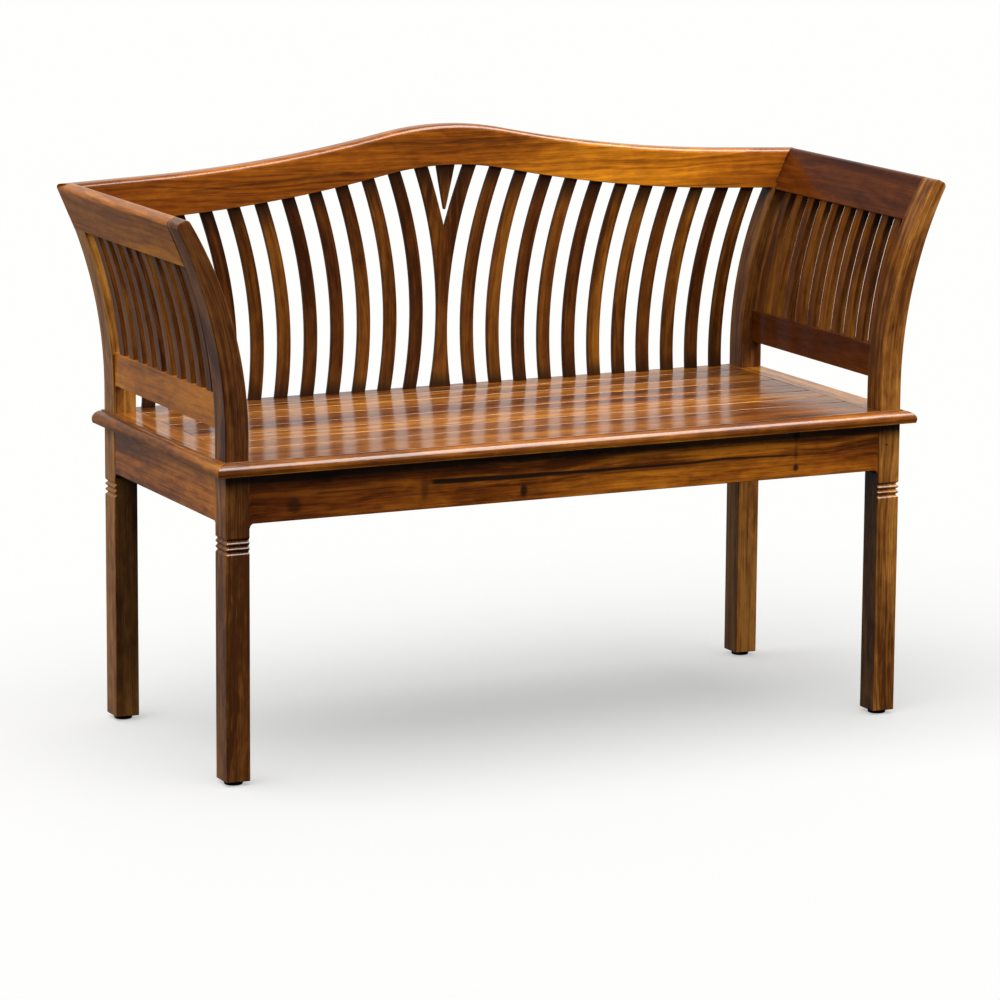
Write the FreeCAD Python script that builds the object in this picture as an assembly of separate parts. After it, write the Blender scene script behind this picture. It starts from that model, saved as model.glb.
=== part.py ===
import FreeCAD, Part
import math
import os

# Deacons bench. Millimetres, +Z up, the sitter faces -Y.
# The origin is on the floor, under the middle of the bounding box.

# Legs and floor glides
leg_width = 35.0
leg_depth = 38.0
leg_span_x = 1050.0
leg_span_y = 454.0
glide_height = 6.0
glide_radius = 13.0
glide_bevel = 1.5
groove_count = 3
groove_pitch = 7.8
groove_width = 6.8
groove_depth = 3.4
front_groove_drop = 22.0
back_groove_drop = 16.0

# Aprons
apron_height = 69.0
apron_thick = 20.0
apron_inset = 1.0
apron_cove = 6.0
apron_cove_toe = 1.0
apron_tenon_length = 11.0
apron_tenon_thick = 8.0
apron_tenon_shoulder = 8.0

# Seat
seat_height = 450.0
seat_thick = 18.0
overhang_front = 18.0
overhang_side = 18.0
overhang_back = 4.0
frame_inner_reach = 38.0
back_member_width = 50.0
seat_slat_count = 7
seat_slat_gap = 1.2
seat_slat_thick = 14.0
seat_slat_round = 1.5
tongue_length = 10.0
tongue_thick = 7.0
tongue_drop = 5.0
moulding_lip = 5.0
moulding_quirk = 1.5
moulding_flat = 1.5
moulding_reach = 15.0

# Posts: the outer edge bends outwards from flare_rise above the seat,
# the inner edge from taper_rise, so that the post narrows as it flares
post_width = 34.0
post_depth = 38.0
post_tenon_size = 12.0
post_tenon_length = 40.0
post_top_round = 5.0
tenon_end_gap = 1.0
flare_rise = 32.0
flare_radius = 650.0
taper_rise = 30.0

# Arms: the drops are measured down from the end of the crest rail
arm_rail_thick = 19.5
arm_rail_top_drop = 8.0
arm_rail_low_drop = 10.9
arm_rail_round = 6.0
arm_rail_tenon_length = 12.0
arm_rail_tenon_inset = 7.0
arm_rail_tenon_thick = 8.0
arm_rail_tenon_margin = 1.5
lower_rail_rise = 40.0
lower_rail_height = 48.0
lower_rail_thick = 15.0
lower_rail_inset = 2.0
lower_rail_tenon_length = 12.0
lower_rail_tenon_thick = 7.0
lower_rail_tenon_shoulder = 8.0
arm_slat_count = 10
arm_slat_width = 19.0
arm_slat_thick = 11.0
arm_slat_inset = 5.5
housing_depth = 8.0
corner_peg_size = 9.0
corner_peg_height = 20.0

# Crest rail: a crown arc, a reverse arc and a straight end on each side
back_height = 390.0
crest_depth = 59.0
crest_thick = 31.0
crown_radius = 470.0
crown_half = 96.0
flank_inset = 66.0
flank_end_angle = 2.5
crest_round = 8.0

# Back slats, counted from the middle outwards
back_slat_count = 11
back_slat_width = 19.5
back_slat_thick = 7.5
slat_foot_first = 49.5
slat_foot_end_gap = 30.0
slat_head_first = 74.0
slat_head_end_gap = 41.1
slat_head_drop = 90.0
slat_bow = 18.7
slat_foot_depth = 10.0
slat_foot_setback = 8.0
slat_lean = 14.0
slat_lean_rise = 310.0

# Y splat and wedge
splat_foot_half = 17.5
splat_waist_half = 8.6
splat_waist_rise = 116.0
splat_head_half = 52.2
splat_branch_width = 21.0
splat_crotch_drop = 153.0
splat_crotch_bow = 1.2
wedge_half = 16.0
wedge_tip_half = 1.0
wedge_drop = 66.0
wedge_bow = 0.3

# Dependent sizes
leg_x = leg_span_x / 2.0
middle_shift = (overhang_front - overhang_back) / 2.0
front_y = middle_shift - leg_span_y / 2.0
back_y = middle_shift + leg_span_y / 2.0
seat_under = seat_height - seat_thick
apron_under = seat_under - apron_height
seat_front_edge = front_y - overhang_front
seat_back_edge = back_y + overhang_back
frame_inner_x = leg_x - frame_inner_reach
frame_inner_front = front_y + frame_inner_reach
frame_inner_back = seat_back_edge - back_member_width
post_inner_x = leg_x - post_width
flare_start = seat_height + flare_rise
taper_start = seat_height + taper_rise
outer_centre_x = leg_x + flare_radius
arm_front = front_y + post_depth
arm_back = back_y - post_depth
lower_rail_bottom = seat_height + lower_rail_rise
lower_rail_top = lower_rail_bottom + lower_rail_height
crest_peak = seat_height + back_height
crest_back = back_y
crest_front = crest_back - crest_thick
flank_end = leg_x - flank_inset
slat_plane_y = back_y - slat_foot_setback
slat_head_level = crest_peak - slat_head_drop
splat_waist_height = seat_height + splat_waist_rise
splat_crotch_height = crest_peak - splat_crotch_drop

# Widest slip between two points that count as the same
tolerance = 0.05


def vec(x, y, z):
    return FreeCAD.Vector(x, y, z)


def box(x0, x1, y0, y1, z0, z1):
    return Part.makeBox(x1 - x0, y1 - y0, z1 - z0, vec(x0, y0, z0))


def face_of(edges):
    wire = Part.Wire(Part.__sortEdges__(edges))
    return Part.Face(wire)


def line(a, b):
    return Part.makeLine(a, b)


def arc(a, b, c):
    return Part.Arc(a, b, c).toShape()


def prism(face, direction):
    return face.extrude(direction)


def mirrored(shape):
    return shape.mirror(vec(0, 0, 0), vec(1, 0, 0))


def export(shape, node):
    shape.exportStep(os.path.join("parts", node + ".step"))


def crest_parameters():
    tilt = math.asin(crown_half / crown_radius)
    end_tilt = math.radians(flank_end_angle)
    flank_radius = (flank_end - crown_half) / (math.sin(tilt) - math.sin(end_tilt))
    return tilt, end_tilt, flank_radius


def crest_height(x):
    # top edge of the crest rail above the floor
    tilt, end_tilt, flank_radius = crest_parameters()
    x = abs(x)
    if x <= crown_half:
        return crest_peak - crown_radius + math.sqrt(crown_radius ** 2 - x ** 2)
    joint_z = crest_peak - crown_radius * (1.0 - math.cos(tilt))
    centre_x = crown_half + flank_radius * math.sin(tilt)
    centre_z = joint_z + flank_radius * math.cos(tilt)
    if x <= flank_end:
        return centre_z - math.sqrt(flank_radius ** 2 - (centre_x - x) ** 2)
    end_z = centre_z - flank_radius * math.cos(end_tilt)
    return end_z - (x - flank_end) * math.tan(end_tilt)


def flare_angle(z):
    # angle above the horizontal at which the outer edge of a post reaches height z
    return math.degrees(math.asin((z - flare_start) / flare_radius))


def radial_point(radius, angle):
    # point on a circle about the flare centre, angle above the horizontal
    turn = math.radians(angle)
    return vec(outer_centre_x - radius * math.cos(turn), 0, flare_start + radius * math.sin(turn))


def taper_radius_to(rim):
    # radius of the inner edge, upright at taper_start and passing through the rim
    run = rim.x - post_inner_x
    rise = rim.z - taper_start
    return (run ** 2 + rise ** 2) / (2.0 * run)


# Sizes that follow from the end of the crest rail
crest_end = crest_height(leg_x)
arm_rail_top_angle = flare_angle(crest_end - arm_rail_top_drop)
arm_rail_low_angle = flare_angle(crest_end - crest_depth - arm_rail_low_drop)
taper_radius = taper_radius_to(radial_point(flare_radius + arm_rail_thick, arm_rail_top_angle))
inner_centre_x = post_inner_x + taper_radius


def outer_x(z):
    # outer edge of a right-hand post at height z
    rise = max(z - flare_start, 0.0)
    return outer_centre_x - math.sqrt(flare_radius ** 2 - rise ** 2)


def inner_x(z):
    # inner edge of a right-hand post at height z
    rise = max(z - taper_start, 0.0)
    return inner_centre_x - math.sqrt(taper_radius ** 2 - rise ** 2)


def inner_radius(angle):
    # distance from the flare centre to the inner edge along a radial line
    turn = math.radians(angle)
    offset_x = inner_centre_x - outer_centre_x
    offset_z = taper_start - flare_start
    along = -offset_x * math.cos(turn) + offset_z * math.sin(turn)
    across = offset_x ** 2 + offset_z ** 2 - along ** 2
    return along + math.sqrt(taper_radius ** 2 - across)


def band_face(low_angle, high_angle):
    # slice of the flared band between two radial lines
    middle = (low_angle + high_angle) / 2.0
    outer = [radial_point(flare_radius, a) for a in (low_angle, middle, high_angle)]
    inner = [radial_point(inner_radius(a), a) for a in (low_angle, middle, high_angle)]
    return face_of([
        arc(outer[0], outer[1], outer[2]),
        line(outer[2], inner[2]),
        arc(inner[2], inner[1], inner[0]),
        line(inner[0], outer[0]),
    ])


def ring_face(near, far, low_angle, high_angle):
    # slice of a ring about the flare centre
    middle = (low_angle + high_angle) / 2.0
    inside = [radial_point(near, a) for a in (low_angle, middle, high_angle)]
    outside = [radial_point(far, a) for a in (low_angle, middle, high_angle)]
    return face_of([
        arc(inside[0], inside[1], inside[2]),
        line(inside[2], outside[2]),
        arc(outside[2], outside[1], outside[0]),
        line(outside[0], inside[0]),
    ])


def spread(face, y0, y1):
    # face drawn at y = 0, extruded from y0 to y1
    placed = face.copy()
    placed.translate(vec(0, y0, 0))
    return prism(placed, vec(0, y1 - y0, 0))


def largest(shape):
    return max(shape.Solids, key=lambda solid: solid.Volume)


def post_tenon(y0):
    # square tenon from the post through the seat frame into the leg
    x1 = leg_x - (post_width - post_tenon_size) / 2.0
    start = y0 + (post_depth - post_tenon_size) / 2.0
    return box(x1 - post_tenon_size, x1, start, start + post_tenon_size,
               seat_height - post_tenon_length, seat_height)


def groove(z, front):
    # V-shaped cutter on the outer side face and on the front or back face
    half = groove_width / 2.0
    side = face_of([
        line(vec(leg_x, 0, z - half), vec(leg_x - groove_depth, 0, z)),
        line(vec(leg_x - groove_depth, 0, z), vec(leg_x, 0, z + half)),
        line(vec(leg_x, 0, z + half), vec(leg_x, 0, z - half)),
    ])
    face_y = front_y if front else back_y
    inward = groove_depth if front else -groove_depth
    end = face_of([
        line(vec(leg_x - leg_width, face_y, z - half), vec(leg_x - leg_width, face_y + inward, z)),
        line(vec(leg_x - leg_width, face_y + inward, z), vec(leg_x - leg_width, face_y, z + half)),
        line(vec(leg_x - leg_width, face_y, z + half), vec(leg_x - leg_width, face_y, z - half)),
    ])
    y0 = front_y if front else back_y - leg_depth
    return [spread(side, y0, y0 + leg_depth), prism(end, vec(leg_width, 0, 0))]


def right_leg(front):
    y0 = front_y if front else back_y - leg_depth
    leg = box(leg_x - leg_width, leg_x, y0, y0 + leg_depth, glide_height, seat_under)
    cutters = []
    groove_drop = front_groove_drop if front else back_groove_drop
    for index in range(groove_count):
        cutters += groove(apron_under - groove_drop - index * groove_pitch, front)
    post_y = front_y if front else back_y - post_depth
    socket = post_tenon(post_y)
    cutters.append(socket)
    pit = socket.copy()
    pit.translate(vec(0, 0, -tenon_end_gap))
    cutters.append(pit)
    cutters.append(side_apron_tenon(front))
    cutters.append(long_apron_tenon(front))
    return leg.cut(cutters)


def long_apron_tenon(front):
    middle = apron_inset + apron_thick / 2.0
    centre = front_y + middle if front else back_y - middle
    half = apron_tenon_thick / 2.0
    x0 = leg_x - leg_width
    return box(x0, x0 + apron_tenon_length, centre - half, centre + half,
               apron_under + apron_tenon_shoulder, seat_under - apron_tenon_shoulder)


def side_apron_tenon(front):
    centre = leg_x - apron_inset - apron_thick / 2.0
    half = apron_tenon_thick / 2.0
    if front:
        y0 = front_y + leg_depth - apron_tenon_length
    else:
        y0 = back_y - leg_depth
    return box(centre - half, centre + half, y0, y0 + apron_tenon_length,
               apron_under + apron_tenon_shoulder, seat_under - apron_tenon_shoulder)


def apron_face(length):
    # rail outline with a small cove running down onto the leg at each end
    half = length / 2.0
    toe = apron_under - apron_cove
    bend = apron_cove * math.sqrt(0.5)
    start = half - apron_cove_toe - apron_cove
    edges = []
    for side in (-1, 1):
        edges.append(line(vec(side * half, 0, seat_under), vec(side * half, 0, toe)))
        edges.append(line(vec(side * half, 0, toe), vec(side * (half - apron_cove_toe), 0, toe)))
        edges.append(arc(vec(side * (half - apron_cove_toe), 0, toe),
                         vec(side * (start + bend), 0, toe + bend),
                         vec(side * start, 0, apron_under)))
    edges.append(line(vec(-half, 0, seat_under), vec(half, 0, seat_under)))
    edges.append(line(vec(-start, 0, apron_under), vec(start, 0, apron_under)))
    return face_of(edges)


def long_apron(front):
    y0 = front_y + apron_inset if front else back_y - apron_inset - apron_thick
    rail = spread(apron_face(leg_span_x - 2.0 * leg_width), y0, y0 + apron_thick)
    tenon = long_apron_tenon(front)
    return rail.fuse([tenon, mirrored(tenon)]).removeSplitter()


def right_apron():
    rail = spread(apron_face(leg_span_y - 2.0 * leg_depth), 0, apron_thick)
    rail.rotate(vec(0, 0, 0), vec(0, 0, 1), 90)
    rail.translate(vec(leg_x - apron_inset, middle_shift, 0))
    return rail.fuse([side_apron_tenon(True), side_apron_tenon(False)]).removeSplitter()


def moulding_face(inner, edge):
    # frame member section in the XZ plane, moulded edge on the +X side
    step = edge - moulding_reach
    shelf = seat_height - moulding_quirk
    start = step + moulding_flat
    reach = edge - start
    fall = shelf - seat_under - moulding_lip
    return face_of([
        line(vec(inner, 0, seat_under), vec(inner, 0, seat_height)),
        line(vec(inner, 0, seat_height), vec(step, 0, seat_height)),
        line(vec(step, 0, seat_height), vec(step, 0, shelf)),
        line(vec(step, 0, shelf), vec(start, 0, shelf)),
        quarter_ellipse(vec(start, 0, shelf - fall), reach, fall),
        line(vec(edge, 0, shelf - fall), vec(edge, 0, seat_under)),
        line(vec(edge, 0, seat_under), vec(inner, 0, seat_under)),
    ])


def quarter_ellipse(centre, reach, fall):
    # from straight above the centre round to level with it, on the +X side
    side, top = centre + vec(reach, 0, 0), centre + vec(0, 0, fall)
    if reach >= fall:
        curve = Part.Ellipse(side, top, centre)
    else:
        curve = Part.Ellipse(top, side, centre)
    low, high = sorted([curve.parameter(side), curve.parameter(top)])
    if high - low > math.pi:
        low, high = high, low + 2.0 * math.pi
    return curve.toShape(low, high)


def mitre_wedge():
    # everything in front of the mitre at the right-hand front corner
    reach = frame_inner_reach + overhang_side
    outer = vec(leg_x + overhang_side, seat_front_edge, seat_under)
    inner = vec(frame_inner_x, seat_front_edge + reach, seat_under)
    corner = vec(frame_inner_x, seat_front_edge, seat_under)
    face = face_of([line(outer, inner), line(inner, corner), line(corner, outer)])
    return prism(face, vec(0, 0, seat_thick))


def seat_groove():
    # groove in the inner edge of the right-hand member for the slat tongues
    top = seat_height - tongue_drop
    return box(frame_inner_x, frame_inner_x + tongue_length, frame_inner_front, frame_inner_back,
               top - tongue_thick, top)


def back_tongue():
    top = seat_height - tongue_drop
    return box(frame_inner_x, frame_inner_x + tongue_length, frame_inner_back, seat_back_edge,
               top - tongue_thick, top)


def right_seat_member():
    section = moulding_face(frame_inner_x, leg_x + overhang_side)
    member = spread(section, seat_front_edge, seat_back_edge)
    cutters = [mitre_wedge(), seat_groove(), back_tongue()]
    cutters += [post_tenon(front_y), post_tenon(back_y - post_depth)]
    return member.cut(cutters)


def front_seat_member():
    section = moulding_face(0, frame_inner_reach + overhang_front)
    half = leg_x + overhang_side
    member = spread(section, -half, half)
    member.rotate(vec(0, 0, 0), vec(0, 0, 1), -90)
    member.translate(vec(0, frame_inner_front, 0))
    side = box(frame_inner_x, half, seat_front_edge, frame_inner_front, seat_under, seat_height)
    keep = side.cut(mitre_wedge())
    tenon = post_tenon(front_y)
    return member.cut([keep, mirrored(keep), tenon, mirrored(tenon)])


def back_seat_member(sockets):
    body = box(-frame_inner_x, frame_inner_x, frame_inner_back, seat_back_edge, seat_under, seat_height)
    tongue = back_tongue()
    member = body.fuse([tongue, mirrored(tongue)]).removeSplitter()
    return member.cut(sockets)


def seat_slat(index):
    clear = frame_inner_back - frame_inner_front
    pitch = clear / seat_slat_count
    y0 = frame_inner_front + index * pitch + seat_slat_gap / 2.0
    y1 = y0 + pitch - seat_slat_gap
    board = box(-frame_inner_x, frame_inner_x, y0, y1, seat_height - seat_slat_thick, seat_height)
    long_edges = [edge for edge in board.Edges
                  if edge.BoundBox.ZMin > seat_height - tolerance and edge.BoundBox.YLength < tolerance]
    board = board.makeFillet(seat_slat_round, long_edges)
    top = seat_height - tongue_drop
    reach = frame_inner_x + tongue_length
    tongue = box(-reach, reach, y0, y1, top - tongue_thick, top)
    return board.fuse(tongue).removeSplitter()


def post_face(top_angle):
    # straight foot, then the flared and tapered band up to a radial line
    outer_top = radial_point(flare_radius, top_angle)
    outer_mid = radial_point(flare_radius, top_angle / 2.0)
    inner_top = radial_point(inner_radius(top_angle), top_angle)
    middle_z = (taper_start + inner_top.z) / 2.0
    return face_of([
        line(vec(post_inner_x, 0, seat_height), vec(leg_x, 0, seat_height)),
        line(vec(leg_x, 0, seat_height), vec(leg_x, 0, flare_start)),
        arc(vec(leg_x, 0, flare_start), outer_mid, outer_top),
        line(outer_top, inner_top),
        arc(inner_top, vec(inner_x(middle_z), 0, middle_z), vec(post_inner_x, 0, taper_start)),
        line(vec(post_inner_x, 0, taper_start), vec(post_inner_x, 0, seat_height)),
    ])


def arm_rail_tenon():
    near = flare_radius + arm_rail_tenon_inset
    face = ring_face(near, near + arm_rail_tenon_thick,
                     arm_rail_low_angle + arm_rail_tenon_margin,
                     arm_rail_top_angle - arm_rail_tenon_margin)
    return spread(face, arm_front - arm_rail_tenon_length, arm_front)


def lower_rail_tenon(front):
    middle = leg_x - lower_rail_inset - lower_rail_thick / 2.0
    half = lower_rail_tenon_thick / 2.0
    y0 = arm_front - lower_rail_tenon_length if front else arm_back
    return box(middle - half, middle + half, y0, y0 + lower_rail_tenon_length,
               lower_rail_bottom + lower_rail_tenon_shoulder,
               lower_rail_top - lower_rail_tenon_shoulder)


def corner_peg():
    # peg on the back post, standing up into the mitred corner
    foot = radial_point(flare_radius, arm_rail_low_angle).z
    peg_x = (outer_x(foot) + inner_x(foot + corner_peg_height)) / 2.0
    half = corner_peg_size / 2.0
    peg_y = back_y - post_depth / 2.0
    return box(peg_x - half, peg_x + half, peg_y - half, peg_y + half,
               foot - corner_peg_size, foot + corner_peg_height)


def front_post():
    post = spread(post_face(arm_rail_top_angle), front_y, arm_front)
    top = [edge for edge in post.Edges
           if edge.BoundBox.YLength > post_depth - tolerance and edge.BoundBox.ZMin > lower_rail_top]
    post = post.makeFillet(post_top_round, top)
    post = post.fuse(post_tenon(front_y)).removeSplitter()
    return post.cut([arm_rail_tenon(), lower_rail_tenon(True)])


def back_post(crest, arm_rail):
    tall = spread(post_face(arm_rail_low_angle + arm_rail_margin()), arm_back, back_y)
    shaft = largest(tall.cut([crest, arm_rail]))
    solid = shaft.fuse([post_tenon(arm_back), corner_peg()]).removeSplitter()
    return solid.cut(lower_rail_tenon(False))


def arm_rail_margin():
    return (arm_rail_top_angle - arm_rail_low_angle) / 3.0


def mitre_face(toward_arm):
    # region on one side of the outer flare curve, drawn at y = 0
    low_z = radial_point(flare_radius, arm_rail_low_angle).z - crest_depth
    high_z = crest_peak
    middle_z = (low_z + high_z) / 2.0
    far = leg_x + flare_radius / 2.0 if toward_arm else leg_x - flare_radius / 2.0
    start, end = vec(outer_x(low_z), 0, low_z), vec(outer_x(high_z), 0, high_z)
    return face_of([
        arc(start, vec(outer_x(middle_z), 0, middle_z), end),
        line(end, vec(far, 0, high_z)),
        line(vec(far, 0, high_z), vec(far, 0, low_z)),
        line(vec(far, 0, low_z), start),
    ])


def mitre_cutter(toward_arm):
    face = mitre_face(toward_arm)
    face.translate(vec(0, crest_back, 0))
    level = crest_end - crest_depth / 2.0
    return prism(face, vec(inner_x(level) - outer_x(level), -crest_thick, 0))


def plain_arm_rail():
    rail = spread(band_face(arm_rail_low_angle, arm_rail_top_angle), arm_front, crest_back)
    top_z = radial_point(flare_radius, arm_rail_top_angle).z - tolerance
    top = [edge for edge in rail.Edges
           if edge.BoundBox.YLength > crest_thick and edge.BoundBox.ZMin > top_z]
    rail = rail.makeFillet(arm_rail_round, top)
    return largest(rail.cut(mitre_cutter(False)))


def lower_rail():
    x1 = leg_x - lower_rail_inset
    rail = box(x1 - lower_rail_thick, x1, arm_front, arm_back, lower_rail_bottom, lower_rail_top)
    return rail.fuse([lower_rail_tenon(True), lower_rail_tenon(False)]).removeSplitter()


def arm_slats():
    near = flare_radius + arm_slat_inset
    low = math.degrees(math.asin((lower_rail_top - housing_depth - flare_start) / near))
    high = arm_rail_low_angle + math.degrees(housing_depth / near)
    face = ring_face(near, near + arm_slat_thick, low, high)
    clear = arm_back - arm_front
    gap = (clear - arm_slat_count * arm_slat_width) / (arm_slat_count + 1)
    slats = []
    for index in range(arm_slat_count):
        y0 = arm_front + gap + index * (arm_slat_width + gap)
        slats.append(spread(face, y0, y0 + arm_slat_width))
    return slats


def crest_point(x, drop):
    return vec(x, 0, crest_height(x) - drop)


def crest_edges(drop, end_x):
    edges = [arc(crest_point(-crown_half, drop), crest_point(0, drop), crest_point(crown_half, drop))]
    middle = (crown_half + flank_end) / 2.0
    for side in (-1, 1):
        edges.append(arc(crest_point(side * crown_half, drop), crest_point(side * middle, drop),
                         crest_point(side * flank_end, drop)))
        edges.append(line(crest_point(side * flank_end, drop), crest_point(side * end_x, drop)))
    return edges


def plain_crest():
    end_x = outer_x(crest_height(flank_end)) + crest_thick
    edges = crest_edges(0.0, end_x) + crest_edges(crest_depth, end_x)
    for side in (-1, 1):
        edges.append(line(crest_point(side * end_x, 0.0), crest_point(side * end_x, crest_depth)))
    rail = spread(face_of(edges), crest_front, crest_back)
    top = []
    for edge in rail.Edges:
        bounds = edge.BoundBox
        middle = edge.valueAt((edge.FirstParameter + edge.LastParameter) / 2.0)
        on_top = abs(middle.z - crest_height(middle.x)) < tolerance
        if on_top and bounds.YLength < tolerance < bounds.XLength:
            top.append(edge)
    rail = rail.makeFillet(crest_round, top)
    cutter = mitre_cutter(True)
    return largest(rail.cut([cutter, mirrored(cutter)]))


def slat_centre(index, z):
    # middle line of a right-hand back slat, bowed between its foot and its head
    part = index / (back_slat_count - 1)
    foot_last = post_inner_x - slat_foot_end_gap
    head_last = inner_x(slat_head_level) - slat_head_end_gap
    foot = slat_foot_first + part * (foot_last - slat_foot_first)
    head = slat_head_first + part * (head_last - slat_head_first)
    share = (z - seat_height) / (slat_head_level - seat_height)
    return foot + (head - foot) * share - 4.0 * slat_bow * share * (1.0 - share)


def leaning_sheet():
    # the thin leaning slab in which the back slats lie
    half = back_slat_thick / 2.0
    low, high = seat_height - slat_foot_depth, crest_peak
    low_y = slat_plane_y + slat_lean * slat_foot_depth / slat_lean_rise
    high_y = slat_plane_y - slat_lean * (crest_peak - seat_height) / slat_lean_rise
    corners = [vec(-leg_x, low_y - half, low), vec(-leg_x, low_y + half, low),
               vec(-leg_x, high_y + half, high), vec(-leg_x, high_y - half, high)]
    edges = [line(corners[i], corners[(i + 1) % 4]) for i in range(4)]
    return prism(face_of(edges), vec(leg_span_x, 0, 0))


def slat_head(x):
    return crest_height(x) - crest_depth + housing_depth


def back_slat(index, sheet):
    low = seat_height - slat_foot_depth
    high = slat_head(slat_centre(index, slat_head_level))
    middle = (low + high) / 2.0
    half = back_slat_width / 2.0
    left = [vec(slat_centre(index, z) - half, 0, z) for z in (low, middle, high)]
    right = [vec(slat_centre(index, z) + half, 0, z) for z in (low, middle, high)]
    face = face_of([
        arc(left[0], left[1], left[2]),
        line(left[2], right[2]),
        arc(right[2], right[1], right[0]),
        line(right[0], left[0]),
    ])
    return spread(face, crest_front - crest_thick, seat_back_edge).common(sheet)


def y_splat(sheet):
    low = seat_height - slat_foot_depth
    high = slat_head(splat_head_half)
    crotch = vec(0, 0, splat_crotch_height)
    edges = [line(vec(-splat_foot_half, 0, low), vec(splat_foot_half, 0, low))]
    for side in (-1, 1):
        outer_top = vec(side * splat_head_half, 0, high)
        inner_top = vec(side * (splat_head_half - splat_branch_width), 0, high)
        halfway = (crotch + inner_top) * 0.5 + vec(-side * splat_crotch_bow, 0, 0)
        edges.append(arc(vec(side * splat_foot_half, 0, low),
                         vec(side * splat_waist_half, 0, splat_waist_height), outer_top))
        edges.append(line(outer_top, inner_top))
        edges.append(arc(inner_top, halfway, crotch))
    return spread(face_of(edges), crest_front - crest_thick, seat_back_edge).common(sheet)


def crest_wedge(sheet):
    top = slat_head(0)
    tip = top - housing_depth - wedge_drop
    edges = [line(vec(-wedge_half, 0, top), vec(wedge_half, 0, top)),
             line(vec(-wedge_tip_half, 0, tip), vec(wedge_tip_half, 0, tip))]
    for side in (-1, 1):
        high, low = vec(side * wedge_half, 0, top), vec(side * wedge_tip_half, 0, tip)
        halfway = (high + low) * 0.5 + vec(side * wedge_bow, 0, 0)
        edges.append(arc(high, halfway, low))
    return spread(face_of(edges), crest_front - crest_thick, seat_back_edge).common(sheet)


def floor_glides():
    top = vec(glide_radius, 0, glide_height)
    side = vec(glide_radius, 0, glide_bevel)
    rim = vec(glide_radius - glide_bevel, 0, 0)
    edges = [line(vec(0, 0, glide_height), top), line(top, side), line(side, rim),
             line(rim, vec(0, 0, 0)), line(vec(0, 0, 0), vec(0, 0, glide_height))]
    glide = face_of(edges).revolve(vec(0, 0, 0), vec(0, 0, 1), 360)
    middle_x = leg_x - leg_width / 2.0
    glides = []
    for x in (-middle_x, middle_x):
        for y in (front_y + leg_depth / 2.0, back_y - leg_depth / 2.0):
            copy = glide.copy()
            copy.translate(vec(x, y, 0))
            glides.append(copy)
    return Part.makeCompound(glides)


def export_pair(shape, stem):
    export(shape, stem + "_right")
    export(mirrored(shape), stem + "_left")


def main():
    os.makedirs("parts", exist_ok=True)
    export(floor_glides(), "floor_glides")
    export_pair(right_leg(True), "leg_front")
    export_pair(right_leg(False), "leg_back")
    export(long_apron(True), "apron_front")
    export(long_apron(False), "apron_back")
    export_pair(right_apron(), "apron")
    export(front_seat_member(), "seat_frame_front")
    export_pair(right_seat_member(), "seat_frame")
    for index in range(seat_slat_count):
        export(seat_slat(index), "seat_slat_%d" % (index + 1))

    sheet = leaning_sheet()
    splat = y_splat(sheet)
    wedge = crest_wedge(sheet)
    slats = [back_slat(index, sheet) for index in range(back_slat_count)]
    housed = [splat, wedge] + slats + [mirrored(slat) for slat in slats]
    export(splat, "y_splat")
    export(wedge, "crest_wedge")
    for index, slat in enumerate(slats):
        export(slat, "back_slat_right_%d" % (index + 1))
        export(mirrored(slat), "back_slat_left_%d" % (index + 1))
    export(back_seat_member(housed), "seat_frame_back")

    crest = plain_crest()
    arm_rail = plain_arm_rail()
    peg = corner_peg()
    arm_group = arm_slats()
    finished_rail = arm_rail.cut(arm_group + [peg]).fuse(arm_rail_tenon()).removeSplitter()
    export_pair(finished_rail, "arm_top_rail")
    export_pair(lower_rail().cut(arm_group), "arm_lower_rail")
    export_pair(Part.makeCompound(arm_group), "arm_slats")
    export_pair(front_post(), "post_front")
    export_pair(back_post(crest, arm_rail), "post_back")
    export(crest.cut(housed + [peg, mirrored(peg)]), "crest_rail")


main()
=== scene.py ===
import math
from collections import namedtuple

import bmesh
import bpy
import numpy as np
from bpy.props import FloatProperty, FloatVectorProperty, IntProperty, PointerProperty
from mathutils import Matrix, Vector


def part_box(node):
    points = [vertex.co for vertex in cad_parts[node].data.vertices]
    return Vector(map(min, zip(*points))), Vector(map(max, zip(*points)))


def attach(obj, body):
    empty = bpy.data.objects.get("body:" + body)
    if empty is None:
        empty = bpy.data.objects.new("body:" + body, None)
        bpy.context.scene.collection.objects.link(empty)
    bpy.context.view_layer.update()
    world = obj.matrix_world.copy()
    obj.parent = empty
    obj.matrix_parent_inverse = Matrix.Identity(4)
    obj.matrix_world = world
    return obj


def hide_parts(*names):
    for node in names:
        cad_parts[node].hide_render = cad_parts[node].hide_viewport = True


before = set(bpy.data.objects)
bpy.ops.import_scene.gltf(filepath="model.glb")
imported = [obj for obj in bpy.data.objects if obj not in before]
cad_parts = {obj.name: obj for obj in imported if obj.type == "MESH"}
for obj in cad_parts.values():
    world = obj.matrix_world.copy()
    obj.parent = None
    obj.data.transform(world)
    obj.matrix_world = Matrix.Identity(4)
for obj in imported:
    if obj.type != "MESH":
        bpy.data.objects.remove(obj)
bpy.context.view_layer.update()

bl_info = {
    "name": "Deacons bench",
    "version": (1, 0, 0),
    "blender": (4, 5, 0),
    "location": "3D View > Sidebar > Bench",
    "description": "Dresses the bench frame in eased, lacquered hardwood pieces",
    "category": "Object",
}

SIDES = ("right", "left")
SEAT_BOARDS = 7
BACK_SLATS = 11
ARC_STEPS = 4
LEAST_ROUND = 0.05
SHARP_ANGLE = math.radians(32.0)
GROOVE_STEP = 0.0005
SENSOR_WIDTH = 36.0


def span_of(node):
    """Lowest and highest corner of a frame node, as two arrays in metres."""
    low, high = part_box(node)
    return np.array(low), np.array(high)


# Tones and marks of single boards

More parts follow.
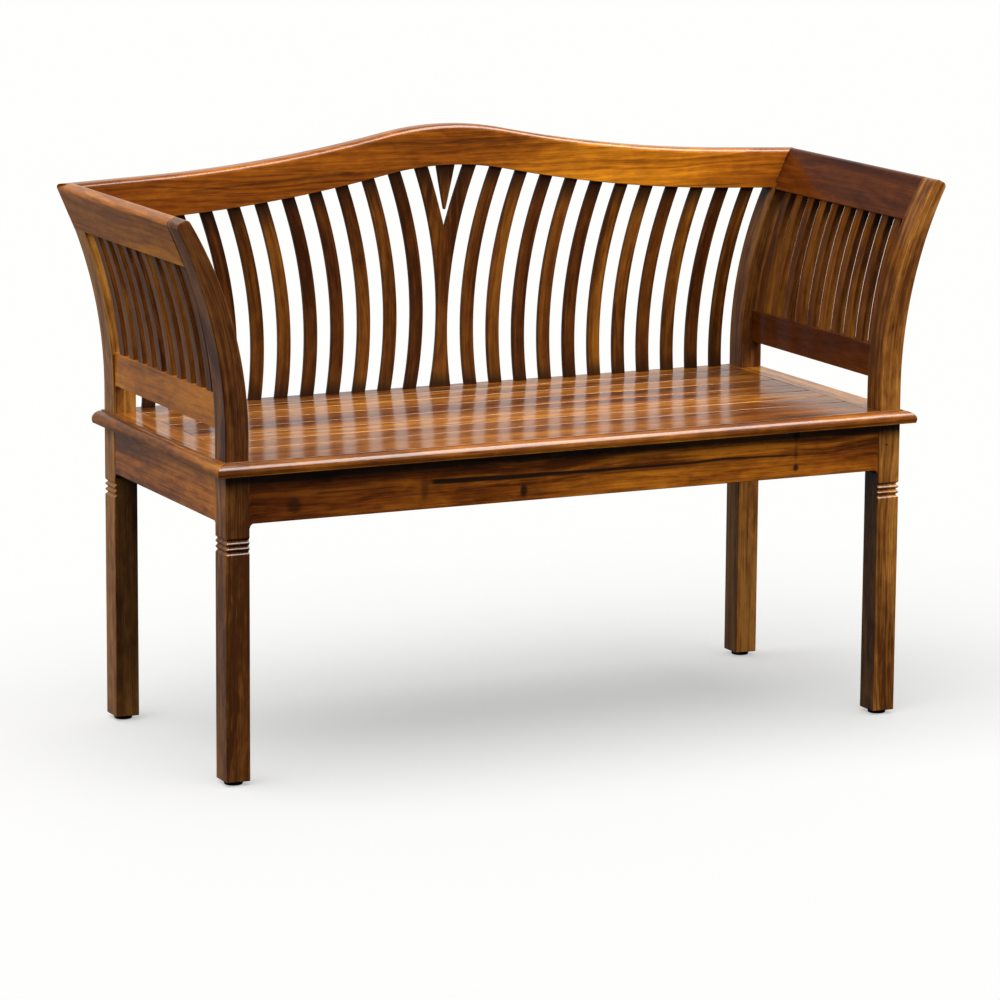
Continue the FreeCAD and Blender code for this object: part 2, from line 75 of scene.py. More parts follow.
# Boards that are plainly darker or lighter than the rest of their kind. The rails of the right arm are also
# darkened as painted shade, besides their own tone.
TONES_AND_SHADE = {
    "leg_front_left": 0.0, "leg_front_right": 0.2, "leg_back_left": 0.1, "leg_back_right": -0.2,
    "post_front_left": -1.0, "post_front_right": 0.2, "post_back_left": 0.4, "post_back_right": -0.4,
    "arm_top_rail_left": 0.5, "arm_top_rail_right": -1.5, "arm_lower_rail_left": 0.8,
    "arm_lower_rail_right": -1.5, "apron_left": 0.3,
}
# How the tone drifts along the long aprons and the crest rail, each stop a place and a tone. The drift is
# partly the wood's own tone and partly painted light, darker to the left and brighter to the right towards
# the lamp there
APRON_TONE_AND_LIGHT = ((-0.49, -1.2), (-0.36, -0.8), (-0.15, -0.1), (0.10, 0.4), (0.49, 0.1))
CREST_TONE_AND_LIGHT = ((-0.59, -0.8), (-0.35, -0.3), (-0.10, 0.1), (0.02, 0.0), (0.22, 1.3), (0.38, 1.0),
               (0.52, -0.2))
# Boards that show their dark marks, and how strongly
MARKED = {"apron_front": 1.0, "leg_front_right": 1.0, "crest_rail": 1.0}
# A streak has its start, end, height, slope, half width at the start and at the end, and strength.
# A knot has its place along and across, its reach along and across, and its strength.
APRON_STREAKS = (
    (-0.216, 0.352, 0.0012, -0.008, 0.0032, 0.0009, 0.92),
    (-0.390, -0.260, 0.0010, 0.004, 0.0011, 0.0007, 0.60),
    (0.060, 0.420, 0.0140, 0.010, 0.0006, 0.0006, 0.40),
)
APRON_KNOTS = (
    (0.354, 0.027, 0.0085, 0.0090, 0.95), (0.354, -0.020, 0.0065, 0.0080, 0.85),
    (0.354, 0.004, 0.0040, 0.0220, 0.45), (-0.078, -0.020, 0.0060, 0.0100, 0.80),
    (-0.230, -0.008, 0.0090, 0.0240, 0.50), (-0.425, -0.014, 0.0160, 0.0180, 0.55),
    (-0.375, 0.018, 0.0120, 0.0080, 0.45), (-0.300, -0.026, 0.0140, 0.0060, 0.45),
)
LEG_KNOTS = ((0.400, -0.0045, 0.0022, 0.0019, 1.0),)
CREST_STREAKS = (
    (-0.400, -0.145, 0.7860, 0.060, 0.0010, 0.0016, 0.45),
    (-0.270, -0.145, 0.7675, -0.070, 0.0008, 0.0010, 0.40),
    (-0.120, 0.140, 0.8180, 0.000, 0.0035, 0.0020, 0.35),
    (0.340, 0.500, 0.7310, 0.000, 0.0008, 0.0009, 0.50),
)
# Painted shade darkens a slat over this length at its ends, under the crest rail and above the seat, and
# fades faster at its foot
END_SHADE = 0.05
FOOT_FASTER = 1.6
# Each slat of an arm shows the figure a step further on
FIGURE_STEP = np.array([0.37, 0.11, 0.05])


# Settings

class BenchSizes(bpy.types.PropertyGroup):
    """Sizes of the bench that its frame nodes don't give by themselves."""

    ease: FloatProperty(
        name="Eased edge", description="Radius of the sanded edge on every stick",
        default=0.0012, min=0.0002, max=0.004, unit="LENGTH")
    board_ease: FloatProperty(
        name="Seat board edge", description="Radius of the top edges of the seat boards",
        default=0.0016, min=0.0002, max=0.004, unit="LENGTH")
    board_cup: FloatProperty(
        name="Seat board cup", description="How much a seat board's middle stands over its edges",
        default=0.00012, min=0.0, max=0.001, unit="LENGTH")
    joint_gap: FloatProperty(
        name="Joint gap", description="Open line left at a mitre or a butt joint",
        default=0.00015, min=0.0, max=0.001, unit="LENGTH")
    groove_width: FloatProperty(
        name="Groove width", description="Width of one V groove round a leg",
        default=0.0068, min=0.001, max=0.02, unit="LENGTH")
    groove_depth: FloatProperty(
        name="Groove depth", description="Depth of one V groove round a leg",
        default=0.0034, min=0.0, max=0.01, unit="LENGTH")
    groove_pitch: FloatProperty(
        name="Groove pitch", description="Distance from one groove to the next",
        default=0.0078, min=0.002, max=0.03, unit="LENGTH")
    front_groove_drop: FloatProperty(
        name="Front groove drop", description="From the apron down to a front leg's first groove",
        default=0.022, min=0.0, max=0.1, unit="LENGTH")
    back_groove_drop: FloatProperty(
        name="Back groove drop", description="From the apron down to a back leg's first groove",
        default=0.016, min=0.0, max=0.1, unit="LENGTH")
    groove_count: IntProperty(
        name="Grooves", description="Number of V grooves on each leg", default=3, min=0, max=8)
    apron_height: FloatProperty(
        name="Apron height", description="Height of the rails under the seat",
        default=0.069, min=0.02, max=0.15, unit="LENGTH")
    cove: FloatProperty(
        name="Cove", description="Radius of the cove where an apron runs down onto a leg",
        default=0.006, min=0.0, max=0.03, unit="LENGTH")
    cove_toe: FloatProperty(
        name="Cove toe", description="Flat left between the cove and the leg",
        default=0.001, min=0.0, max=0.01, unit="LENGTH")
    moulding_reach: FloatProperty(
        name="Moulding reach", description="Width of the moulded edge of the seat",
        default=0.015, min=0.004, max=0.03, unit="LENGTH")
    moulding_quirk: FloatProperty(
        name="Moulding quirk", description="Small step between the seat top and the moulding",
        default=0.0015, min=0.0, max=0.005, unit="LENGTH")
    moulding_lip: FloatProperty(
        name="Moulding lip", description="Height of the upright lip under the moulding",
        default=0.005, min=0.001, max=0.01, unit="LENGTH")
    flare_rise: FloatProperty(
        name="Flare rise", description="Height above the seat where a post begins to flare",
        default=0.032, min=0.0, max=0.2, unit="LENGTH")
    flare_radius: FloatProperty(
        name="Flare radius", description="Radius of the outer edge of the flared posts",
        default=0.650, min=0.3, max=1.5, unit="LENGTH")
    taper_rise: FloatProperty(
        name="Taper rise", description="Height above the seat where a post begins to narrow",
        default=0.030, min=0.0, max=0.2, unit="LENGTH")
    arm_thick: FloatProperty(
        name="Arm rail thickness", description="Thickness of the top rail of an arm at its top edge",
        default=0.0195, min=0.01, max=0.04, unit="LENGTH")
    arm_round: FloatProperty(
        name="Arm rail rounding", description="Radius of the two top edges of an arm rail",
        default=0.006, min=0.001, max=0.01, unit="LENGTH")
    arm_top_drop: FloatProperty(
        name="Arm rail top drop",
        description="From the crest's end down to the arm rail's outer top edge",
        default=0.0080, min=0.0, max=0.1, unit="LENGTH")
    arm_low_drop: FloatProperty(
        name="Arm rail low drop",
        description="From the crest's lower end down to the arm rail's lower edge",
        default=0.0109, min=0.0, max=0.1, unit="LENGTH")
    arm_slat_width: FloatProperty(
        name="Arm slat width", description="Width of an arm slat, front to back",
        default=0.019, min=0.005, max=0.05, unit="LENGTH")
    arm_slat_thick: FloatProperty(
        name="Arm slat thickness", description="Thickness of an arm slat",
        default=0.011, min=0.004, max=0.03, unit="LENGTH")
    arm_slat_inset: FloatProperty(
        name="Arm slat inset", description="From the outer edge of the flare in to an arm slat",
        default=0.0055, min=0.0, max=0.02, unit="LENGTH")
    arm_slat_count: IntProperty(
        name="Arm slats", description="Number of slats in each arm", default=10, min=1, max=20)
    housing: FloatProperty(
        name="Housing depth", description="How far a slat runs into its rail",
        default=0.008, min=0.0, max=0.02, unit="LENGTH")
    crest_depth: FloatProperty(
        name="Crest depth", description="Height of the crest rail's front face",
        default=0.059, min=0.02, max=0.12, unit="LENGTH")
    crest_round: FloatProperty(
        name="Crest rounding", description="Radius of the two top edges of the crest rail",
        default=0.008, min=0.001, max=0.014, unit="LENGTH")
    crown_radius: FloatProperty(
        name="Crown radius", description="Radius of the crown in the middle of the crest rail",
        default=0.470, min=0.2, max=2.0, unit="LENGTH")
    crown_half: FloatProperty(
        name="Crown half width", description="From the middle out to where the crown turns hollow",
        default=0.096, min=0.02, max=0.3, unit="LENGTH")
    flank_inset: FloatProperty(
        name="Flank inset", description="From the outer face of the legs in to the end of the hollow flank",
        default=0.066, min=0.0, max=0.2, unit="LENGTH")
    flank_end_angle: FloatProperty(
        name="Flank end angle", description="Slope of the straight ends of the crest rail",
        default=math.radians(2.5), min=0.0, max=0.3, subtype="ANGLE")
    slat_width: FloatProperty(
        name="Back slat width", description="Width of a back slat",
        default=0.0195, min=0.005, max=0.05, unit="LENGTH")
    slat_thick: FloatProperty(
        name="Back slat thickness", description="Thickness of a back slat",
        default=0.0075, min=0.004, max=0.03, unit="LENGTH")
    slat_bow: FloatProperty(
        name="Back slat bow", description="How far a slat bows towards the middle of the back",
        default=0.0187, min=0.0, max=0.05, unit="LENGTH")
    slat_foot_first: FloatProperty(
        name="First slat foot", description="From the middle of the back to the first slat's foot",
        default=0.0495, min=0.02, max=0.2, unit="LENGTH")
    slat_foot_gap: FloatProperty(
        name="Last slat foot gap", description="From the last slat's foot to the post",
        default=0.030, min=0.01, max=0.1, unit="LENGTH")
    slat_head_first: FloatProperty(
        name="First slat head", description="From the middle of the back to the first slat's head",
        default=0.074, min=0.02, max=0.2, unit="LENGTH")
    slat_head_gap: FloatProperty(
        name="Last slat head gap", description="From the last slat's head to the post",
        default=0.0411, min=0.01, max=0.1, unit="LENGTH")
    slat_head_drop: FloatProperty(
        name="Slat head drop", description="From the top of the crown down to the level of the heads",
        default=0.090, min=0.02, max=0.2, unit="LENGTH")
    slat_setback: FloatProperty(
        name="Slat setback", description="From the back of the posts to the slats, at the seat",
        default=0.008, min=0.0, max=0.03, unit="LENGTH")
    slat_lean: FloatProperty(
        name="Slat lean", description="How far the slats lean forwards for each unit of height",
        default=14.0 / 310.0, min=-0.2, max=0.2)
    splat_foot: FloatProperty(
        name="Splat foot", description="Half width of the Y splat at the seat",
        default=0.0175, min=0.005, max=0.05, unit="LENGTH")
    splat_waist: FloatProperty(
        name="Splat waist", description="Half width of the Y splat at its waist",
        default=0.0086, min=0.003, max=0.05, unit="LENGTH")
    splat_waist_rise: FloatProperty(
        name="Splat waist rise", description="Height of the waist above the seat",
        default=0.116, min=0.02, max=0.3, unit="LENGTH")
    splat_head: FloatProperty(
        name="Splat head", description="Half width of the Y splat at the crest rail",
        default=0.0522, min=0.01, max=0.1, unit="LENGTH")
    splat_branch: FloatProperty(
        name="Splat branch", description="Width of a branch of the Y at the crest rail",
        default=0.021, min=0.005, max=0.05, unit="LENGTH")
    splat_crotch_drop: FloatProperty(
        name="Splat crotch drop", description="From the top of the crown down to the fork of the Y",
        default=0.153, min=0.05, max=0.3, unit="LENGTH")
    splat_crotch_bow: FloatProperty(
        name="Splat crotch bow", description="Bow of the inner edges of the Y",
        default=0.0012, min=0.0, max=0.01, unit="LENGTH")
    wedge_half: FloatProperty(
        name="Wedge half width", description="Half width of the wedge in the fork, at the crest rail",
        default=0.016, min=0.002, max=0.05, unit="LENGTH")
    wedge_tip: FloatProperty(
        name="Wedge tip", description="Half width of the wedge at its tip",
        default=0.001, min=0.0005, max=0.01, unit="LENGTH")
    wedge_drop: FloatProperty(
        name="Wedge drop", description="Length of the wedge below the crest rail",
        default=0.066, min=0.01, max=0.2, unit="LENGTH")
    wedge_bow: FloatProperty(
        name="Wedge bow", description="Bow of the two edges of the wedge",
        default=0.0003, min=0.0, max=0.01, unit="LENGTH")
    glide_bevel: FloatProperty(
        name="Glide bevel", description="Rounding at the bottom of a floor glide",
        default=0.0015, min=0.0, max=0.004, unit="LENGTH")


class BenchFinish(bpy.types.PropertyGroup):
    """Colours and gloss of the stained and lacquered wood."""

    frame_colour: FloatVectorProperty(
        name="Legs and posts", description="Stain of the legs and posts",
        default=(0.178, 0.074, 0.016), min=0.0, max=1.0, subtype="COLOR")
    apron_colour: FloatVectorProperty(
        name="Aprons", description="Stain of the rails under the seat",
        default=(0.205, 0.064, 0.005), min=0.0, max=1.0, subtype="COLOR")
    seat_colour: FloatVectorProperty(
        name="Seat", description="Stain of the seat boards and their frame",
        default=(0.205, 0.074, 0.007), min=0.0, max=1.0, subtype="COLOR")
    rail_colour: FloatVectorProperty(
        name="Rails", description="Stain of the crest and arm rails",
        default=(0.225, 0.074, 0.0045), min=0.0, max=1.0, subtype="COLOR")
    slat_colour: FloatVectorProperty(
        name="Slats", description="Stain of the slats and the Y splat",
        default=(0.108, 0.038, 0.005), min=0.0, max=1.0, subtype="COLOR")
    # Also the colour of the painted shade at the ends of the slats
    heart_colour: FloatVectorProperty(
        name="Heartwood", description="Colour of the dark streaks",
        default=(0.014, 0.006, 0.003), min=0.0, max=1.0, subtype="COLOR")
    glide_colour: FloatVectorProperty(
        name="Glides", description="Colour of the floor glides",
        default=(0.010, 0.009, 0.008), min=0.0, max=1.0, subtype="COLOR")
    roughness: FloatProperty(
        name="Roughness", description="Roughness of the wood under the lacquer",
        default=0.42, min=0.05, max=1.0, subtype="FACTOR")
    lacquer: FloatProperty(
        name="Lacquer", description="Strength of the clear coat",
        default=1.0, min=0.0, max=1.0, subtype="FACTOR")
    lacquer_roughness: FloatProperty(
        name="Lacquer roughness", description="Roughness of the clear coat",
        default=0.10, min=0.0, max=1.0, subtype="FACTOR")


class BenchStudio(bpy.types.PropertyGroup):
    """Camera, floor and lamps."""

    eye: FloatVectorProperty(
        name="Camera", description="Place of the camera",
        default=(-2.8353, -5.8454, 1.5831), subtype="TRANSLATION")
    azimuth: FloatProperty(
        name="Azimuth", description="Camera heading, anticlockwise from looking along +Y",
        default=-0.45794, subtype="ANGLE")
    elevation: FloatProperty(
        name="Elevation", description="How far the camera looks down",
        default=0.18733, subtype="ANGLE")
    roll: FloatProperty(
        name="Roll", description="Small tilt of the camera about its line of sight",
        default=0.00849, subtype="ANGLE")
    lens: FloatProperty(
        name="Lens", description="Focal length in millimetres on a 36 mm sensor",
        default=165.508, min=10.0, max=500.0)
    shift: FloatVectorProperty(
        name="Shift", description="Sideways and upward shift of the picture",
        default=(-0.0343, -0.02205), size=2)
    floor_colour: FloatVectorProperty(
        name="Floor", description="Colour of the floor",
        default=(0.50, 0.50, 0.493), min=0.0, max=1.0, subtype="COLOR")
    floor_glow: FloatProperty(
        name="Floor glow", description="Evenness of the floor, as light that no shadow takes away",
        default=0.48, min=0.0, max=1.0)
    even_light: FloatProperty(
        name="Even light", description="Strength of the soft light from above",
        default=3.0, min=0.0, max=20.0)
    sky_back: FloatProperty(
        name="Back of the studio", description="Brightness of the wall behind the bench",
        default=0.60, min=0.0, max=5.0)
    sky_front: FloatProperty(
        name="Front of the studio", description="Brightness of the room on the camera's side",
        default=0.07, min=0.0, max=5.0)
    sky_below: FloatProperty(
        name="Below the horizon", description="Share of that brightness that the gloss sees below",
        default=0.95, min=0.0, max=1.0)


# Shared lines of the bench

class BenchLines:
    """The lines that several pieces share, worked out from the frame and the sizes, in metres."""

    def __init__(self, sizes):
        leg_low, leg_high = span_of("leg_front_right")
        back_low, back_high = span_of("leg_back_right")
        seat_low, seat_high = span_of("seat_frame_right")
        crest_low, crest_high = span_of("crest_rail")
        self.sizes = sizes
        self.leg_inner_x, self.leg_x = leg_low[0], leg_high[0]
        self.front_y, self.back_y = leg_low[1], back_high[1]
        self.leg_front_back_y, self.leg_back_front_y = leg_high[1], back_low[1]
        self.leg_bottom = leg_low[2]
        self.seat_under, self.seat_top = seat_low[2], seat_high[2]
        self.seat_edge_x, self.frame_inner_x = seat_high[0], seat_low[0]
        self.seat_front, self.seat_back = seat_low[1], seat_high[1]
        self.apron_under = self.seat_under - sizes.apron_height
        post_low, post_high = span_of("post_front_right")
        self.post_inner_x, self.post_size = post_low[0], post_high[1] - post_low[1]
        self.arm_front, self.arm_back = post_high[1], self.back_y - self.post_size
        self.lower_top = span_of("arm_lower_rail_right")[1][2]
        self.crest_front, self.crest_back = crest_low[1], crest_high[1]
        self.crest_peak = crest_high[2]
        self.flare_start = self.seat_top + sizes.flare_rise
        self.taper_start = self.seat_top + sizes.taper_rise
        self.outer_centre = self.leg_x + sizes.flare_radius
        self.crown_turn = math.asin(sizes.crown_half / sizes.crown_radius)
        self.flank_end = self.leg_x - sizes.flank_inset
        self.flank_radius = (self.flank_end - sizes.crown_half) / (
            math.sin(self.crown_turn) - math.sin(sizes.flank_end_angle))
        crest_end = float(self.crest_height(np.array(self.leg_x)))
        self.arm_top_angle = self.flare_angle(crest_end - sizes.arm_top_drop)
        self.arm_low_angle = self.flare_angle(crest_end - sizes.crest_depth - sizes.arm_low_drop)
        rim_x, rim_z = self.radial(sizes.flare_radius + sizes.arm_thick, self.arm_top_angle)
        run, rise = rim_x - self.post_inner_x, rim_z - self.taper_start
        self.taper_radius = (run ** 2 + rise ** 2) / (2.0 * run)
        self.inner_centre = self.post_inner_x + self.taper_radius
        level = crest_end - sizes.crest_depth / 2.0
        self.mitre_width = float(self.outer_x(level) - self.inner_x(level))

    def flare_angle(self, z):
        """Angle about the flare centre at which the outer edge of a post reaches height z."""
        return math.asin((z - self.flare_start) / self.sizes.flare_radius)

    def radial(self, radius, angle):
        """x and z of a point at that radius and angle about the flare centre."""
        return (self.outer_centre - radius * np.cos(angle),
                self.flare_start + radius * np.sin(angle))

    def outer_x(self, z):
        """Outer edge of a post: upright, then an arc of the flare radius."""
        rise = np.maximum(z - self.flare_start, 0.0)
        return self.outer_centre - np.sqrt(self.sizes.flare_radius ** 2 - rise ** 2)

    def inner_x(self, z):
        """Inner edge of a post: upright, then an arc of the taper radius."""
        rise = np.maximum(z - self.taper_start, 0.0)
        return self.inner_centre - np.sqrt(self.taper_radius ** 2 - rise ** 2)

    def inner_radius(self, angle):
        """Distance from the flare centre to a post's inner edge along a radial line."""
        offset_x = self.inner_centre - self.outer_centre
        offset_z = self.taper_start - self.flare_start
        along = offset_z * np.sin(angle) - offset_x * np.cos(angle)
        across = offset_x ** 2 + offset_z ** 2 - along ** 2
        return along + np.sqrt(self.taper_radius ** 2 - across)

    def crest_height(self, x):
        """Top edge of the crest rail: a crown arc, then a hollow arc, then a straight end."""
        sizes, out = self.sizes, np.abs(x)
        joint = self.crest_peak - sizes.crown_radius * (1.0 - math.cos(self.crown_turn))
        centre_x = sizes.crown_half + self.flank_radius * math.sin(self.crown_turn)
        centre_z = joint + self.flank_radius * math.cos(self.crown_turn)
        end_z = centre_z - self.flank_radius * math.cos(sizes.flank_end_angle)
        crown = self.crest_peak - sizes.crown_radius + np.sqrt(
            sizes.crown_radius ** 2 - np.minimum(out, sizes.crown_half) ** 2)
        flank = centre_z - np.sqrt(
            self.flank_radius ** 2 - (centre_x - np.clip(out, sizes.crown_half, self.flank_end)) ** 2)
        end = end_z - (out - self.flank_end) * math.tan(sizes.flank_end_angle)
        return np.where(out <= sizes.crown_half, crown, np.where(out <= self.flank_end, flank, end))

    def mitre_y(self, x, z):
        """Back to front line of the mitre between an arm rail and the crest rail, at x and z."""
        share = (self.outer_x(z) - x) / self.mitre_width
        return self.crest_back - (self.crest_back - self.crest_front) * share

    def slat_head_level(self):
        """Height at which the heads of the back slats are spaced."""
        return self.crest_peak - self.sizes.slat_head_drop

    def slat_middle(self, index, z):
        """Middle line of a right-hand back slat: straight from foot to head, less a parabola's bow."""
        sizes = self.sizes
        part = index / (BACK_SLATS - 1)
        foot_last = self.post_inner_x - sizes.slat_foot_gap
        head_last = float(self.inner_x(self.slat_head_level())) - sizes.slat_head_gap
        foot = sizes.slat_foot_first + part * (foot_last - sizes.slat_foot_first)
        head = sizes.slat_head_first + part * (head_last - sizes.slat_head_first)
        share = (z - self.seat_top) / (self.slat_head_level() - self.seat_top)
        return foot + (head - foot) * share - 4.0 * sizes.slat_bow * share * (1.0 - share)

    def slat_y(self, z):
        """Middle of the leaning sheet in which the back slats lie."""
        return self.back_y - self.sizes.slat_setback - self.sizes.slat_lean * (z - self.seat_top)

    def slat_head(self, x):
        """Height at which a slat ends inside the crest rail."""
        return float(self.crest_height(np.array(x))) - self.sizes.crest_depth + self.sizes.housing


# Surfaces

Board = namedtuple("Board", "points grain faces")


def eased_outline(corners, radii):
    """Rounds the corners of closed outlines.

    Each corner moves back to the two points where a circle of its radius touches both sides,
    and the arc between them turns in equal steps about that circle's centre."""
    before = np.roll(corners, 1, axis=-2) - corners
    after = np.roll(corners, -1, axis=-2) - corners
    before /= np.linalg.norm(before, axis=-1, keepdims=True)
    after /= np.linalg.norm(after, axis=-1, keepdims=True)
    half = np.arccos(np.clip((before * after).sum(-1), -1.0, 1.0))[..., None] / 2.0
    bisector = (before + after) / np.linalg.norm(before + after, axis=-1, keepdims=True)
    radius = np.broadcast_to(radii, half.shape[:-1])[..., None]
    centre = corners + bisector * radius / np.sin(half)
    first = corners + before * radius / np.tan(half) - centre
    last = corners + after * radius / np.tan(half) - centre
    turn = (np.pi - 2.0 * half)[..., None, :]
    step = np.linspace(0.0, 1.0, ARC_STEPS + 1)[:, None]
    arc = np.sin((1.0 - step) * turn) * first[..., None, :] + np.sin(step * turn) * last[..., None, :]
    ring = centre[..., None, :] + arc / np.sin(turn)
    return ring.reshape(*corners.shape[:-2], -1, 2)


def eased_stations(low, high, ease, count):
    """Places along a stick and how far its section is drawn in at each.

    At both ends the section shrinks along a quarter circle of the ease radius."""
    turn = np.linspace(0.0, np.pi / 2.0, ARC_STEPS + 1)
    in_from_end = ease * (1.0 - np.cos(turn))
    middle = np.linspace(low + ease, high - ease, count)[1:-1]
    places = np.concatenate([low + in_from_end, middle, (high - in_from_end)[::-1]])
    drawn = np.concatenate([1.0 - np.sin(turn), np.zeros(len(middle)), (1.0 - np.sin(turn))[::-1]])
    return places, drawn


def stick(places, drawn, half_across, half_through, ease, radii=None, end_across=None):
    """Board space of a stick: along, across and through for each station and ring point.

    The section is a rectangle with rounded corners, drawn in towards the ends. Where it is drawn
    in, a corner keeps at least a small share of its radius."""
    radii = np.full(4, ease) if radii is None else np.array(radii)
    in_across = drawn * (ease if end_across is None else end_across)
    in_through = drawn * ease
    across = np.broadcast_to(half_across, places.shape) - in_across
    through = np.broadcast_to(half_through, places.shape) - in_through
    signs = np.array([[1.0, 1.0], [-1.0, 1.0], [-1.0, -1.0], [1.0, -1.0]])
    corners = np.stack([across[:, None] * signs[:, 0], through[:, None] * signs[:, 1]], axis=-1)
    reach = np.maximum(radii[None, :] - in_through[:, None], ease * LEAST_ROUND)
    ring = eased_outline(corners, reach)
    along = np.broadcast_to(places[:, None, None], (*ring.shape[:2], 1))
    return np.concatenate([along, ring], axis=-1)


def tube_faces(rows, columns):
    """Quads between neighbouring rings of a closed tube, and one face over each end."""
    index = np.arange(rows * columns).reshape(rows, columns)
    beside = np.roll(index, -1, axis=1)
    quads = np.stack([index[:-1], beside[:-1], beside[1:], index[1:]], axis=-1).reshape(-1, 4)
    return quads.tolist() + [index[0][::-1].tolist(), index[-1].tolist()]


def carried(space, x, y, z):
    """A board whose stations and ring points lie at x, y and z, with the grain along its first axis."""
    shape = space.shape[:2]
    points = np.stack([np.broadcast_to(v, shape) for v in (x, y, z)], axis=-1)
    return Board(points.reshape(-1, 3), space.reshape(-1, 3), tube_faces(*shape))


def mirrored(board):
    """The same board on the other side of the bench."""
    faces = [face[::-1] for face in board.faces]
    return Board(board.points * np.array([-1.0, 1.0, 1.0]), board.grain, faces)


def joined(boards):
    """Several boards as one, with their faces counted on."""
    starts = np.cumsum([0] + [len(b.points) for b in boards[:-1]])
    faces = [[int(v + start) for v in face] for b, start in zip(boards, starts) for face in b.faces]
    return Board(np.concatenate([b.points for b in boards]),
                 np.concatenate([b.grain for b in boards]), faces)


def three_point_arc(first, middle, last, count):
    """Points on the circle through three points, from the first to the last."""
    first, middle, last = (np.array(p, float) for p in (first, middle, last))
    sides = 2.0 * np.array([middle - first, last - first])
    squares = np.array([middle @ middle - first @ first, last @ last - first @ first])
    centre = np.linalg.solve(sides, squares)
    angles = np.unwrap([math.atan2(*(p - centre)[::-1]) for p in (first, middle, last)])
    turn = np.linspace(angles[0], angles[2], count)
    radius = np.linalg.norm(first - centre)
    return centre + radius * np.stack([np.cos(turn), np.sin(turn)], axis=-1)


def plate(outline, half_through, ease, place):
    """A flat piece with eased edges, cut to an outline.

    The outline is drawn in along its own normals by the ease radius, on a quarter circle at
    the front and another at the back. place gives x, y and z from across, up and through."""
    forward = np.roll(outline, -1, axis=0) - np.roll(outline, 1, axis=0)
    forward /= np.linalg.norm(forward, axis=1, keepdims=True)
    inward = np.stack([-forward[:, 1], forward[:, 0]], axis=-1)
    area = (outline[:, 0] * np.roll(outline[:, 1], -1) - np.roll(outline[:, 0], -1) * outline[:, 1]).sum()
    inward *= np.sign(area)
    through, drawn = eased_stations(-half_through, half_through, ease, 3)
    flat = outline[None] + inward[None] * (drawn * ease)[:, None, None]
    depth = np.broadcast_to(through[:, None], flat.shape[:2])
    space = np.stack([flat[..., 1], flat[..., 0], depth], axis=-1)
    return carried(space, *place(flat[..., 0], flat[..., 1], depth))


# Pieces and their boards

def object_from(name, data):
    """A new object in the scene."""
    made = bpy.data.objects.new(name, data)
    bpy.context.scene.collection.objects.link(made)
    return made


def piece_from(name, board, nodes, slot, seed, tone, heart):
    """One object from a board. Its grain attribute holds board space in metres, and its board
    attribute holds the seed of its figure, its tone, on some boards with painted light and shade in it, and
    the share of its dark marks: heartwood on most boards, painted shade at the ends of the slats."""
    mesh = bpy.data.meshes.new(name)
    mesh.from_pydata(board.points.tolist(), [], board.faces)
    shell = bmesh.new()
    shell.from_mesh(mesh)
    if shell.calc_volume(signed=True) < 0.0:
        bmesh.ops.reverse_faces(shell, faces=shell.faces)
    shell.to_mesh(mesh)
    shell.free()
    mesh.polygons.foreach_set("use_smooth", np.ones(len(mesh.polygons), bool))
    mesh.set_sharp_from_angle(angle=SHARP_ANGLE)
    grain = mesh.attributes.new("grain", "FLOAT_VECTOR", "POINT")
    grain.data.foreach_set("vector", board.grain.astype(np.float32).ravel())
    tones = np.resize(np.repeat(tone, len(board.points) // np.size(tone)), len(board.points))
    marks = np.stack(np.broadcast_arrays(seed, tones, heart), axis=-1).astype(np.float32)
    mesh.attributes.new("board", "FLOAT_VECTOR", "POINT").data.foreach_set("vector", marks.ravel())
    if mesh.validate(verbose=False):
        raise RuntimeError(f"the mesh of {name} has broken faces")
    piece = object_from(name, mesh)
    flat = piece.modifiers.new("flat_faces", "WEIGHTED_NORMAL")
    flat.weight, flat.keep_sharp = 60, True
    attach(piece, "root")
    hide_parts(*nodes)
    mesh.materials.append(finish_of(slot))


def cut_from(node, tone=None, heart=None):
    """Seed, tone and dark marks of a board. The seed is the same every time for one name, and the
    tone is chosen where the boards differ plainly and drawn from the seed elsewhere."""
    draw = np.random.default_rng(sum(ord(letter) * (place + 7) for place, letter in enumerate(node)))
    seed, drawn_tone = draw.uniform(0.0, 9.0), draw.uniform(-0.6, 0.6)
    tone = TONES_AND_SHADE.get(node, drawn_tone) if tone is None else tone
    return seed, tone, MARKED.get(node, 0.0) if heart is None else heart


def pair_from(name, board, node, slot, heart=None):
    """The same piece on both sides of the bench. Its names have {} where the side stands."""
    for side in SIDES:
        placed = board if side == "right" else mirrored(board)
        piece_from(name.format(side), placed, [node.format(side)], slot,
                   *cut_from(node.format(side), heart=heart))


def toned_along(board, stops):
    """A tone for each point of a board that runs from stop to stop along the grain."""
    places, tones = zip(*stops)
    return np.interp(board.grain[:, 0], places, tones)


def dark_ends(board, lines):
    """Painted shade at the ends of a slat, under the crest rail and at the seat: grows from 0 to 1 towards
    either end of the part of a slat that shows.
    """
    along = board.grain[:, 0]
    high = along.max() - lines.sizes.housing
    from_end = np.minimum(high - along, (along - lines.seat_top) * FOOT_FASTER)
    return np.clip(1.0 - from_end / END_SHADE, 0.0, 1.0)


# Finishes

